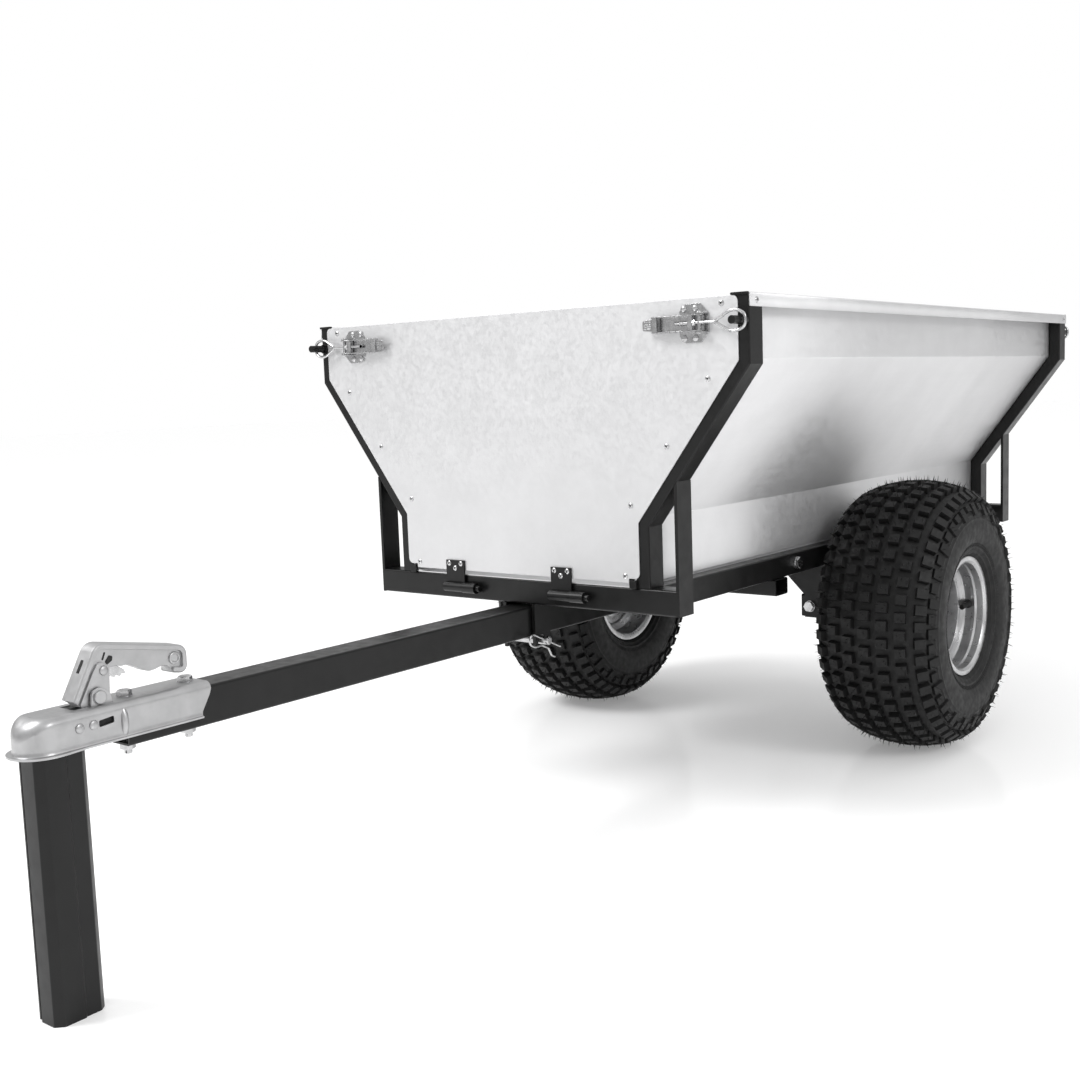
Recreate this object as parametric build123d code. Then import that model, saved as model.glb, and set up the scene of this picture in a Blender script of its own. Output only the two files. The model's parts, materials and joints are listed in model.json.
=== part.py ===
from build123d import *
import os
from math import atan2, tan

os.makedirs("parts", exist_ok=True)

# Tipping garden trailer.  All sizes in millimetres, +Z up, the coupling points along -Y.
# Y is measured back from the tub's front face; save() moves the origin under the middle.

# ---- tub ------------------------------------------------------------------------------
TUB_LENGTH = 1462.0
TUB_TOP = 829.0
UPPER_HALF = 437.0         # half width over the frames, above the upper bend
UPPER_BEND_Z = 728.5
LOWER_HALF = 259.0         # half width over the frames, below the lower bend
LOWER_BEND_Z = 491.0
LEAN = atan2(UPPER_HALF - LOWER_HALF, UPPER_BEND_Z - LOWER_BEND_Z)
SHEET = 1.5                # galvanised sheet
LIP_DROP = 20.0            # folded lip outside the top of each frame
FLANGE_IN = 20.0           # bottom flange of a side sheet, on the floor
TUBE = 40.0                # square tube of rails and crossbars
TUBE_WALL = 2.5
TUBE_CORNER = 3.5
BAR_BOTTOM = 356.0
BAR_TOP = BAR_BOTTOM + TUBE
FLOOR_TOP = BAR_TOP + SHEET
BAR_HALF = 311.0           # half width over the corner posts
ARM = 25.0                 # frame arm, across the bend
ARM_TOP = TUB_TOP - SHEET
POST = 5.5                 # flat bar of a corner post
CROSS_MEMBER_Y = (479.0, 1100.0)
CROSS_MEMBER = (40.0, 36.0)
PLUG_LENGTH = 12.0         # threaded plug inside each end of a cross member
PLUG_GAP = 3.0
M12 = 6.0                  # shank radius of the frame's bolts
M12_HOLE = 6.2
M12_FLATS = 18.0
RAIL_BOLT_Z = 377.0
FLOOR_RIVETS = 6
RIVET_HOLE = 2.5
FLANGE_RIVET_IN = 8.0      # floor rivets, in from the side sheet's foot
LIP_RIVET_DOWN = 11.0      # lip rivets, down from the top
SHEET_END = 0.5            # sheets stop this short of the tub's ends

# ---- gates, hinges and latches ---------------------------------------------------------
GATE_INSET = 17.0          # gate edge, in from the frame's outline
GATE_BOTTOM = BAR_TOP + 8.0
GATE_TOP = TUB_TOP - 3.0
GATE_SHEET = 2.0
GATE_GAP = 0.3
GATE_FACE = -(GATE_GAP + GATE_SHEET)
STIFFENER = 5.0
STIFFENER_OUTER = 30.5
STIFFENER_WIDTH = 25.0
GATE_RIVET_Z = (816.0, 710.0, 613.0, 523.0, 414.0)
HINGE_LEAF_X = (-152.0, 73.0)
LEAF_WIDTH = 40.0
LEAF_TOP = 421.0
LEAF = 3.0
HINGE_Y = -9.0
HINGE_Z = 376.0
KNUCKLE_R = 8.0
BARREL_R = 9.0
BARREL_LENGTH = 28.0
HINGE_PIN_R = 5.0
LATCH_Z = 790.0
LATCH_X = 364.0            # lever pivot
LATCH_Y = -14.0
LATCH_THROW = 14.0         # lever pivot to loop pivot
LEVER_TIP_X = 268.0
LEVER_HALF = 12.0
LEVER_WALL = 2.0
LEVER_PIN_R = 3.0
SWIVEL_PIN_R = 2.5
TAB_LENGTH = 16.0
BASE_HALF = 28.0
BASE_RIVET_DX = (-31.0, -12.0)
BASE_RIVET_DZ = 21.0
BASE_SHEET = 2.0
EAR_GAP = 0.3
EAR = 2.0
KEEPER_X = 428.5
KEEPER_R = 6.0
KEEPER_LENGTH = 36.0
KEEPER_COLLAR = (6.0, 7.8)  # length and radius
LOOP_ROD = 5.0
LOOP_SIZE = (47.0, 33.0)
LOOP_CORNER = 15.0         # outer corner radius
LOOP_GAP = 1.0             # stud to the end of the eye
RUN = 0.05                 # radial clearance of a running fit

# ---- chassis ---------------------------------------------------------------------------
DRAWBAR = 50.0
DRAWBAR_TOP = 352.0
DRAWBAR_BOTTOM = DRAWBAR_TOP - DRAWBAR
DRAWBAR_FRONT = -764.0
SUPPORT_Y = (399.0, 444.0)
SUPPORT_Z = (326.0, 355.5)
AXLE_Y = 742.0
AXLE_Z = 254.0
AXLE_TUBE = 45.0
AXLE_TUBE_INNER = 146.0
AXLE_TUBE_OUTER = 292.0
BEAM_Z = (314.0, 354.0)
BEAM_HALF = 215.0
GUSSET = 6.0
AXLE_BOLT_X = 168.0
PIVOT_Y = 787.0
PIVOT_Z = 376.0
PIVOT_R = 8.0
LUG = 8.0
LUG_OUTER = 217.0
SADDLE_X = (27.0, 33.0)
SADDLE_BOTTOM = 281.0
PIN_Y = 16.0
PIN_R = 7.0
PIN_Z = DRAWBAR_BOTTOM - PIN_R
PIN_END = 50.0
PIN_HEAD = (6.0, 11.0)     # length and radius
CLIP_X = 43.0
CLIP_R = 1.6
CLIP_SLOPE = 24.0

# ---- wheels ----------------------------------------------------------------------------
WHEEL_X = 380.0
TYRE_R = 254.0
TYRE_HALF = 116.0
RIM_HALF = 94.0
RIM_R = 112.0
SEAT_R = 101.0
WELL_R = 84.0
RIM_SHEET = 3.0
DISC_X = -42.0             # disc, in from the wheel's middle plane
STUB_R = 12.5
HUB_X = (-80.0, -16.0)
WHEEL_BOLT_CIRCLE = 50.0
NUT_FLATS = 34.0
NUT_WASHER_R = 21.0
WHEEL_BOLTS = 4

# ---- coupling and stand -----------------------------------------------------------------
BALL_Y = -862.0
BALL_Z = 326.0
BALL_R = 25.0
SOCKET_R = 25.3
SHELL_HALF = 30.0
SHELL_INNER = 25.2
SHELL_REAR = -647.0
SHELL_BOTTOM = 315.0
SHELL_TOP = 357.0
NOSE_FLANGE = 38.0
COUPLING_BOLT_Y = (-750.0, -662.0)
COUPLING_BOLT_R = 5.0
COUPLING_HOLE_R = 5.2
SIDE_RIVET_Y = (-831.0, -813.0)
SIDE_RIVET_Z = 340.0
SIDE_RIVET_R = 3.0
SIDE_SLOT = (-806.0, -787.0, 337.0, 345.0)
RIB_Y = -772.0
EAR_X = (14.0, 18.0)
HANDLE_Y = -794.0
HANDLE_Z = 367.0
HANDLE_PIN_R = 5.0
HANDLE_HALF = 13.0
HANDLE_SHEET = 3.0
TRIGGER_Y = -784.0
TRIGGER_Z = 411.0
TRIGGER_PIN_R = 2.5
JAW_HALF = 14.0
JAW_REACH = 38.0           # jaw's rear face, behind the ball's centre
STAND_SIZE = (50.0, 66.0)
STAND_Y = -850.0
STAND_TOP = 314.0
STAND_WALL = 3.0
STAND_SLOT = 12.0

FRONT_END = BALL_Y - NOSE_FLANGE
REAR_END = TUB_LENGTH + KEEPER_LENGTH
ORIGIN_Y = (FRONT_END + REAR_END) / 2

nodes = {}


# ---- helpers ---------------------------------------------------------------------------
def box(x0, x1, y0, y1, z0, z1):
    """Block between two corners."""
    middle = Pos((x0 + x1) / 2, (y0 + y1) / 2, (z0 + z1) / 2)
    return middle * Box(x1 - x0, y1 - y0, z1 - z0)


def rod_x(x0, x1, y, z, r):
    return Pos((x0 + x1) / 2, y, z) * Rot(0, 90, 0) * Cylinder(r, x1 - x0)


def rod_y(x, y0, y1, z, r):
    return Pos(x, (y0 + y1) / 2, z) * Rot(90, 0, 0) * Cylinder(r, y1 - y0)


def rod_z(x, y, z0, z1, r):
    return Pos(x, y, (z0 + z1) / 2) * Cylinder(r, z1 - z0)


def plate_xz(points, y0, y1):
    """Outline of (x, z) points, extruded from y0 to y1."""
    face = make_face(Polyline(*[(x, y0, z) for x, z in points], close=True))
    return extrude(face, y1 - y0, dir=(0, 1, 0))


def plate_yz(points, x0, x1):
    """Outline of (y, z) points, extruded from x0 to x1."""
    face = make_face(Polyline(*[(x0, y, z) for y, z in points], close=True))
    return extrude(face, x1 - x0, dir=(1, 0, 0))


def tube(plane, width, height, length, wall=TUBE_WALL):
    """Square tube with rounded corners, along the plane's normal."""
    outer = RectangleRounded(width, height, TUBE_CORNER)
    inner = RectangleRounded(width - 2 * wall, height - 2 * wall, TUBE_CORNER - wall + 0.5)
    return extrude(plane * (outer - inner), length)


def tube_x(x0, x1, y0, y1, z0, z1):
    plane = Plane(origin=(x0, (y0 + y1) / 2, (z0 + z1) / 2), x_dir=(0, 1, 0), z_dir=(1, 0, 0))
    return tube(plane, y1 - y0, z1 - z0, x1 - x0)


def tube_y(x0, x1, y0, y1, z0, z1):
    plane = Plane(origin=((x0 + x1) / 2, y0, (z0 + z1) / 2), x_dir=(1, 0, 0), z_dir=(0, 1, 0))
    return tube(plane, x1 - x0, z1 - z0, y1 - y0)


def both_sides(shape):
    """The shape and its mirror image across the middle plane."""
    return [shape, mirror(shape, about=Plane.YZ)]


def to_rear(shape):
    """The same piece turned half round, at the tub's other end."""
    return Pos(0, TUB_LENGTH, 0) * Rot(0, 0, 180) * shape


def both_ends(shapes):
    return list(shapes) + [to_rear(shape) for shape in shapes]


def hexagon(across_flats, height):
    return extrude(RegularPolygon(across_flats / 2, 6, major_radius=False), height)


def bolt(r, length, flats, head):
    """Bolt along Z: washer face at z = 0, head above and shank below."""
    washer = Pos(0, 0, 1) * Cylinder(flats * 0.62, 2)
    cap = Pos(0, 0, 2) * hexagon(flats, head)
    shank = Pos(0, 0, -length / 2) * Cylinder(r, length)
    return washer + cap + shank


def nut(r, flats, height):
    """Nut along Z with its washer face at z = 0, below it."""
    washer = Pos(0, 0, -1) * Cylinder(flats * 0.62, 2)
    body = Pos(0, 0, -2 - height) * hexagon(flats, height)
    return washer + body - Cylinder(r + RUN, 4 * height)


def rivet(grip):
    """Rivet along Z: dome head above z = 0 and a plain shank below."""
    dome = Sphere(5.0) & (Pos(0, 0, 4.9) * Box(20, 20, 3.6))
    shank = Pos(0, 0, -grip / 2) * Cylinder(2.4, grip)
    return Pos(0, 0, -3.1) * dome + shank


TO_FRONT = Rot(90, 0, 0)       # +Z of a fastener turned to -Y
TO_LEFT = Rot(0, 90, 0)        # +Z of a fastener turned to +X


def revolve_x(points):
    """Ring about the X axis, from (x, radius) points."""
    face = make_face(Polyline(*[(x, 0, r) for x, r in points], close=True))
    return revolve(face, Axis.X)


def save(name, shapes):
    """Write one node, with the origin under the middle of the trailer."""
    solids = []
    for shape in shapes:
        solids += (Pos(0, -ORIGIN_Y, 0) * shape).solids()
    nodes[name] = solids
    export_step(Compound(children=solids), f"parts/{name}.step")


# ---- tub outline -----------------------------------------------------------------------
def side_path(inset, z_low, z_high):
    """The left side's outline from bottom to top, moved inwards by the inset."""
    rise = inset * tan(LEAN / 2)
    lower = LOWER_HALF - inset
    upper = UPPER_HALF - inset
    return [(lower, z_low), (lower, LOWER_BEND_Z + rise), (upper, UPPER_BEND_Z + rise), (upper, z_high)]


def inset_at(inset, z):
    """Half width of the inset outline at height z."""
    lower, bend, top, _ = side_path(inset, 0, 0)
    if z <= bend[1]:
        return bend[0]
    if z >= top[1]:
        return top[0]
    return bend[0] + (top[0] - bend[0]) * (z - bend[1]) / (top[1] - bend[1])


def strip(outer, inner, z_low, z_high, y0, y1):
    points = side_path(outer, z_low, z_high) + side_path(inner, z_low, z_high)[::-1]
    return plate_xz(points, y0, y1)


# ---- tub -------------------------------------------------------------------------------
def crossbar():
    return tube_x(-BAR_HALF + POST, BAR_HALF - POST, 0, TUBE, BAR_BOTTOM, BAR_TOP)


def frame_arm():
    """Bent box-section arm with a closed top."""
    arm = strip(0, ARM, BAR_TOP, ARM_TOP, 0, TUBE)
    edges = []
    for face in (arm.faces().sort_by(Axis.Y)[0], arm.faces().sort_by(Axis.Y)[-1]):
        edges += [edge for edge in face.edges() if abs((edge @ 1 - edge @ 0).Z) > 1]
    arm = fillet(edges, 2.5)
    hollow = strip(2, ARM - 2, BAR_TOP - 1, ARM_TOP - 3, 2, TUBE - 2)
    return arm - hollow


def corner_post():
    """Flat bar from the crossbar's end up to the arm's slanted back."""
    slope = (UPPER_BEND_Z - LOWER_BEND_Z) / (UPPER_HALF - LOWER_HALF)
    inner_top = LOWER_BEND_Z + (BAR_HALF - POST - LOWER_HALF) * slope
    outer_top = LOWER_BEND_Z + (BAR_HALF - LOWER_HALF) * slope
    points = [(BAR_HALF - POST, BAR_BOTTOM), (BAR_HALF, BAR_BOTTOM)]
    points += [(BAR_HALF, outer_top), (BAR_HALF - POST, inner_top)]
    return plate_xz(points, 0, TUBE)


def side_rail():
    rail = tube_y(LOWER_HALF - TUBE, LOWER_HALF, TUBE, TUB_LENGTH - TUBE, BAR_BOTTOM, BAR_TOP)
    rail -= rod_x(LOWER_HALF - TUBE - 1, LOWER_HALF + 1, PIVOT_Y, PIVOT_Z, PIVOT_R + RUN)
    for y in CROSS_MEMBER_Y:
        rail -= rod_x(LOWER_HALF - TUBE - 1, LOWER_HALF + 1, y, RAIL_BOLT_Z, M12_HOLE)
    return rail


def cross_member(y):
    """Box section between the rails, with a plug in each end for the rail bolts."""
    width, height = CROSS_MEMBER
    half = LOWER_HALF - TUBE
    member = tube_x(-half, half, y - width / 2, y + width / 2, BAR_TOP - height, BAR_TOP)
    reach = width / 2 - PLUG_GAP
    plug = box(half - PLUG_LENGTH, half, y - reach, y + reach, BAR_TOP - height + PLUG_GAP, BAR_TOP - PLUG_GAP)
    plug -= rod_x(half - PLUG_LENGTH - 1, half + 1, y, RAIL_BOLT_Z, M12_HOLE)
    return [member] + both_sides(plug)


def rail_bolt(y):
    shank = TUBE + PLUG_LENGTH + 14
    fixing = Pos(LOWER_HALF, y, RAIL_BOLT_Z) * TO_LEFT * bolt(M12, shank, M12_FLATS, 6)
    lock = Pos(LOWER_HALF - TUBE - PLUG_LENGTH, y, RAIL_BOLT_Z) * TO_LEFT * nut(M12, M12_FLATS, 8)
    return [fixing, lock]


def floor_rivet_places():
    pitch = (TUB_LENGTH - 2 * TUBE) / FLOOR_RIVETS
    return [TUBE + pitch * (i + 0.5) for i in range(FLOOR_RIVETS)]


def floor_sheet():
    half = LOWER_HALF - ARM
    sheet = box(-half, half, SHEET_END, TUB_LENGTH - SHEET_END, BAR_TOP, FLOOR_TOP)
    for y in floor_rivet_places():
        for x in (FLANGE_RIVET_IN - half, half - FLANGE_RIVET_IN):
            sheet -= rod_z(x, y, BAR_TOP - 1, FLOOR_TOP + 1, RIVET_HOLE)
    return sheet


def side_sheet():
    """Three-plane side with a flange on the floor and a lip over the frames."""
    y0, y1 = SHEET_END, TUB_LENGTH - SHEET_END
    foot_x = LOWER_HALF - ARM
    lip_x = UPPER_HALF + SHEET
    sheet = strip(ARM, ARM + SHEET, FLOOR_TOP, TUB_TOP, y0, y1)
    sheet += box(foot_x - FLANGE_IN, foot_x, y0, y1, FLOOR_TOP, FLOOR_TOP + SHEET)
    sheet += box(UPPER_HALF - ARM - SHEET, lip_x, 0, TUB_LENGTH, ARM_TOP, TUB_TOP)
    sheet += box(UPPER_HALF, lip_x, 0, TUB_LENGTH, TUB_TOP - LIP_DROP, TUB_TOP)
    for y in floor_rivet_places():
        sheet -= rod_z(foot_x - FLANGE_RIVET_IN, y, BAR_TOP, FLOOR_TOP + SHEET + 1, RIVET_HOLE)
    for y in lip_rivet_places():
        sheet -= rod_x(UPPER_HALF - 1, lip_x + 1, y, TUB_TOP - LIP_RIVET_DOWN, RIVET_HOLE)
    return sheet


def lip_rivet_places():
    return [TUBE / 2, TUB_LENGTH - TUBE / 2]


def tub_rivets():
    """Lip rivets at the frames and floor rivets along the side flanges."""
    placed = []
    for y in lip_rivet_places():
        head = Pos(UPPER_HALF + SHEET, y, TUB_TOP - LIP_RIVET_DOWN) * TO_LEFT * rivet(SHEET)
        placed += both_sides(head)
    rivet_x = LOWER_HALF - ARM - FLANGE_RIVET_IN
    for y in floor_rivet_places():
        placed += both_sides(Pos(rivet_x, y, FLOOR_TOP + SHEET) * rivet(2 * SHEET))
    return placed


def saddle_plate():
    """Plate that straddles the drawbar, with a slot that is open at the bottom."""
    x0, x1 = SADDLE_X
    plate = box(x0, x1, 0, TUBE, SADDLE_BOTTOM, BAR_BOTTOM)
    slot_half = PIN_R + 2.0
    slot = box(x0 - 1, x1 + 1, PIN_Y - slot_half, PIN_Y + slot_half, SADDLE_BOTTOM - 1, PIN_Z)
    return plate - slot - rod_x(x0 - 1, x1 + 1, PIN_Y, PIN_Z, slot_half)


def keeper():
    """Stud on the frame's face that a latch loop goes round, and its washer."""
    length, radius = KEEPER_COLLAR
    stud = rod_y(KEEPER_X, -KEEPER_LENGTH, 0, LATCH_Z, KEEPER_R)
    tip = stud.faces().sort_by(Axis.Y)[0].edges()
    washer = rod_y(KEEPER_X, -length, 0, LATCH_Z, radius) - rod_y(KEEPER_X, -length - 1, 1, LATCH_Z, KEEPER_R)
    return [chamfer(tip, 1.2), washer]


def hinge_pintle(leaf_x):
    """Barrel welded to the crossbar, with the pin that the gate lifts off."""
    barrel_x = leaf_x + LEAF_WIDTH + 1
    barrel = rod_x(barrel_x, barrel_x + BARREL_LENGTH, HINGE_Y, HINGE_Z, BARREL_R)
    weld = box(barrel_x, barrel_x + BARREL_LENGTH, HINGE_Y, 0, HINGE_Z - 6, HINGE_Z + 6)
    pin = rod_x(leaf_x + 2, barrel_x + BARREL_LENGTH + 8, HINGE_Y, HINGE_Z, HINGE_PIN_R)
    return barrel + weld + pin


# ---- gates -----------------------------------------------------------------------------
def gate_outline(inset, z_low, z_high):
    left = side_path(inset, z_low, z_high)
    return left + [(-x, z) for x, z in left[::-1]]


def gate_rivet_places():
    middle = STIFFENER_OUTER + STIFFENER_WIDTH / 2
    places = []
    for z in GATE_RIVET_Z:
        x = inset_at(middle, z)
        places += [(x, z), (-x, z)]
    return places


def hinge_rivet_places():
    places = []
    for leaf_x in HINGE_LEAF_X:
        middle = leaf_x + LEAF_WIDTH / 2
        places += [(middle - 12, 414.5), (middle + 12, 414.5), (middle, 409)]
    return places


def latch_rivet_places():
    places = [(LATCH_X + dx, LATCH_Z + dz) for dx in BASE_RIVET_DX for dz in (-BASE_RIVET_DZ, BASE_RIVET_DZ)]
    return places + [(-x, z) for x, z in places]


def gate_panel():
    panel = plate_xz(gate_outline(GATE_INSET, GATE_BOTTOM, GATE_TOP), GATE_FACE, -GATE_GAP)
    corners = panel.edges().filter_by(Axis.Y).sort_by(Axis.Z)[:2]
    panel = fillet(corners, 10)
    for x, z in gate_rivet_places() + hinge_rivet_places() + latch_rivet_places():
        panel -= rod_y(x, GATE_FACE - 1, 1, z, RIVET_HOLE)
    return panel


def gate_stiffener():
    """Flat-bar frame behind the gate's sheet, inside the end frame."""
    back = STIFFENER - GATE_GAP
    inner = STIFFENER_OUTER + STIFFENER_WIDTH
    frame = plate_xz(gate_outline(STIFFENER_OUTER, GATE_BOTTOM + 2, GATE_TOP - 3), -GATE_GAP, back)
    window = gate_outline(inner, GATE_BOTTOM + 2 + STIFFENER_WIDTH, GATE_TOP - 3 - STIFFENER_WIDTH)
    frame -= plate_xz(window, -1, STIFFENER)
    for x, z in gate_rivet_places() + hinge_rivet_places() + latch_rivet_places():
        frame -= rod_y(x, -1, STIFFENER, z, 3.5)
    return frame


def gate_rivets():
    placed = []
    side = rivet(GATE_SHEET + 3)
    for x, z in gate_rivet_places():
        placed.append(Pos(x, GATE_FACE, z) * TO_FRONT * side)
    leaf = rivet(LEAF + GATE_SHEET + 3)
    for x, z in hinge_rivet_places():
        placed.append(Pos(x, GATE_FACE - LEAF, z) * TO_FRONT * leaf)
    base = rivet(2 * GATE_SHEET)
    for x, z in latch_rivet_places():
        placed.append(Pos(x, GATE_FACE - GATE_SHEET, z) * TO_FRONT * base)
    return placed


def hinge_leaf(leaf_x):
    """Leaf on the gate with its knuckle round the pintle's pin."""
    end_x = leaf_x + LEAF_WIDTH
    leaf = box(leaf_x, end_x, GATE_FACE - LEAF, GATE_FACE, HINGE_Z, LEAF_TOP)
    leaf += rod_x(leaf_x, end_x, HINGE_Y, HINGE_Z, KNUCKLE_R)
    leaf -= rod_x(leaf_x - 1, end_x + 1, HINGE_Y, HINGE_Z, HINGE_PIN_R + RUN)
    middle = leaf_x + LEAF_WIDTH / 2
    for x, z in hinge_rivet_places():
        if abs(x - middle) < LEAF_WIDTH:
            leaf -= rod_y(x, GATE_FACE - LEAF - 1, 0, z, RIVET_HOLE)
    return leaf


def latch_base():
    """Riveted plate with two ears that carry the lever."""
    front = GATE_FACE - BASE_SHEET
    plate = box(LATCH_X - 39, LATCH_X + 10, front, GATE_FACE, LATCH_Z - BASE_HALF, LATCH_Z + BASE_HALF)
    for x, z in latch_rivet_places():
        if x > 0:
            plate -= rod_y(x, front - 1, 0, z, RIVET_HOLE)
    inner = LEVER_HALF + EAR_GAP
    ear = box(LATCH_X - 7, LATCH_X + 7, LATCH_Y, GATE_FACE - 1, LATCH_Z + inner, LATCH_Z + inner + EAR)
    ear += rod_z(LATCH_X, LATCH_Y, LATCH_Z + inner, LATCH_Z + inner + EAR, 7)
    ear += rod_z(LATCH_X, LATCH_Y, LATCH_Z + LEVER_HALF - LEVER_WALL, LATCH_Z + inner + 2 * EAR, LEVER_PIN_R)
    lower = mirror(ear, about=Plane.XY.offset(LATCH_Z))
    return plate + ear + lower


def latch_lever():
    """Channel with a finger tab, open towards the front."""
    x0 = LEVER_TIP_X + TAB_LENGTH
    low, high = LATCH_Z - LEVER_HALF, LATCH_Z + LEVER_HALF
    wall = LEVER_WALL
    lever = box(x0, LATCH_X, LATCH_Y - 6, LATCH_Y + 7, low, high)
    lever += rod_z(LATCH_X, LATCH_Y, low, high, 6.5)
    lever -= box(x0 + 3, LATCH_X + 10, LATCH_Y - 10, LATCH_Y + 5, low + wall, high - wall)
    lever -= box(LATCH_X - 4, LATCH_X + 10, LATCH_Y, LATCH_Y + 10, low + wall, high - wall)
    lever += box(LEVER_TIP_X, x0 + 1, LATCH_Y - 1, LATCH_Y + 1, low + 2 * wall, high - 2 * wall)
    lever -= rod_z(LATCH_X, LATCH_Y, low - 1, high + 1, LEVER_PIN_R + RUN)
    return lever - rod_z(LATCH_X - LATCH_THROW, LATCH_Y, low - 1, high + 1, SWIVEL_PIN_R + RUN)


def latch_loop():
    """Swivel nut, shank and eye that hooks over the keeper."""
    width, height = LOOP_SIZE
    swivel_x = LATCH_X - LATCH_THROW
    bar = LEVER_HALF - LEVER_WALL - EAR_GAP
    loop = rod_z(swivel_x, LATCH_Y, LATCH_Z - bar, LATCH_Z + bar, 4.5)
    loop += rod_z(swivel_x, LATCH_Y, LATCH_Z - LEVER_HALF, LATCH_Z + LEVER_HALF, SWIVEL_PIN_R)
    eye_end = KEEPER_X + KEEPER_R + LOOP_GAP + LOOP_ROD
    loop += rod_x(swivel_x, eye_end - width + 3, LATCH_Y, LATCH_Z, LOOP_ROD / 2)
    middle = (eye_end - width / 2, LATCH_Y + LOOP_ROD / 2, LATCH_Z)
    plane = Plane(origin=middle, x_dir=(1, 0, 0), z_dir=(0, -1, 0))
    hole = RectangleRounded(width - 2 * LOOP_ROD, height - 2 * LOOP_ROD, LOOP_CORNER - LOOP_ROD)
    return loop + extrude(plane * (RectangleRounded(width, height, LOOP_CORNER) - hole), LOOP_ROD)


# ---- chassis ---------------------------------------------------------------------------
def drawbar():
    half = DRAWBAR / 2
    bar = tube_y(-half, half, DRAWBAR_FRONT, AXLE_Y - AXLE_TUBE / 2, DRAWBAR_BOTTOM, DRAWBAR_TOP)
    for y in COUPLING_BOLT_Y:
        bar -= rod_z(0, y, DRAWBAR_BOTTOM - 1, DRAWBAR_TOP + 1, COUPLING_HOLE_R)
    return bar


def support_arm():
    return tube_x(DRAWBAR / 2, LOWER_HALF, *SUPPORT_Y, *SUPPORT_Z)


def axle_beam():
    half = AXLE_TUBE / 2
    return tube_x(-BEAM_HALF, BEAM_HALF, AXLE_Y - half, AXLE_Y + half, *BEAM_Z)


def axle_gusset(y0):
    """Plate from the raised beam down to the stub tube."""
    low = AXLE_Z - AXLE_TUBE / 2
    high = AXLE_Z + AXLE_TUBE / 2
    foot_x = AXLE_TUBE_INNER + 10
    points = [(foot_x, low), (BEAM_HALF, low), (BEAM_HALF, BEAM_Z[1])]
    points += [(foot_x - (BEAM_Z[1] - high), BEAM_Z[1]), (foot_x, high)]
    plate = plate_xz(points, y0, y0 + GUSSET)
    return plate - rod_y(AXLE_BOLT_X, y0 - 1, y0 + GUSSET + 1, AXLE_Z, M12_HOLE)


def axle_tube():
    half = AXLE_TUBE / 2
    stub = tube_x(AXLE_TUBE_INNER, AXLE_TUBE_OUTER, AXLE_Y - half, AXLE_Y + half, AXLE_Z - half, AXLE_Z + half)
    return stub - rod_y(AXLE_BOLT_X, AXLE_Y - TUBE, AXLE_Y + TUBE, AXLE_Z, M12_HOLE)


def stub_axle():
    """Round spindle with a square block that the clamp bolt holds in the tube."""
    block_half = AXLE_TUBE / 2 - TUBE_WALL - 0.2
    block = box(AXLE_TUBE_INNER + 2, AXLE_TUBE_OUTER, AXLE_Y - block_half, AXLE_Y + block_half,
                AXLE_Z - block_half, AXLE_Z + block_half)
    block = fillet(block.edges().filter_by(Axis.X), 2)
    block -= rod_y(AXLE_BOLT_X, AXLE_Y - TUBE, AXLE_Y + TUBE, AXLE_Z, M12_HOLE)
    return block + rod_x(AXLE_TUBE_OUTER - 1, WHEEL_X + HUB_X[1] + 22, AXLE_Y, AXLE_Z, STUB_R)


def axle_clamp_bolt():
    half = AXLE_TUBE / 2 + GUSSET
    head = Pos(AXLE_BOLT_X, AXLE_Y - half, AXLE_Z) * TO_FRONT * bolt(M12, 2 * half + 14, M12_FLATS, 7.5)
    lock = Pos(AXLE_BOLT_X, AXLE_Y + half, AXLE_Z) * TO_FRONT * nut(M12, M12_FLATS, 10)
    return [head, lock]


def castle_nut():
    hub_end = WHEEL_X + HUB_X[1]
    washer = rod_x(hub_end + 0.3, hub_end + 3.3, AXLE_Y, AXLE_Z, NUT_WASHER_R)
    body = Pos(hub_end + 3.3, AXLE_Y, AXLE_Z) * TO_LEFT * hexagon(NUT_FLATS, 12)
    crown = rod_x(hub_end + 15, hub_end + 20, AXLE_Y, AXLE_Z, 15)
    shape = washer + body + crown - rod_x(hub_end - 5, hub_end + 30, AXLE_Y, AXLE_Z, STUB_R)
    for turn in (0, 60, 120):
        slot = Rot(turn, 0, 0) * Box(4, 40, 4.5)
        shape -= Pos(hub_end + 18.5, AXLE_Y, AXLE_Z) * slot
    return shape


def pivot_lug():
    """Plate from the beam's back up to the tub's pivot."""
    back = AXLE_Y + AXLE_TUBE / 2 + GUSSET
    arm = plate_yz([(back, BEAM_Z[0]), (back, BEAM_Z[1]), (PIVOT_Y - 12, PIVOT_Z + 10),
                    (PIVOT_Y + 14, PIVOT_Z - 8), (PIVOT_Y - 4, BEAM_Z[0])], LUG_OUTER - LUG, LUG_OUTER)
    arm += rod_x(LUG_OUTER - LUG, LUG_OUTER, PIVOT_Y, PIVOT_Z, 16)
    return arm - rod_x(LUG_OUTER - LUG - 1, LUG_OUTER + 1, PIVOT_Y, PIVOT_Z, PIVOT_R + RUN)


def pivot_bolt():
    inner = LUG_OUTER - LUG
    head = Pos(LOWER_HALF + 0.4, PIVOT_Y, PIVOT_Z) * TO_LEFT
    shank = LOWER_HALF + 0.4 - inner + 18
    lock = Pos(inner, PIVOT_Y, PIVOT_Z) * TO_LEFT * nut(PIVOT_R, 24, 12)
    return [head * bolt(PIVOT_R, shank, 24, 5), lock]


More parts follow.
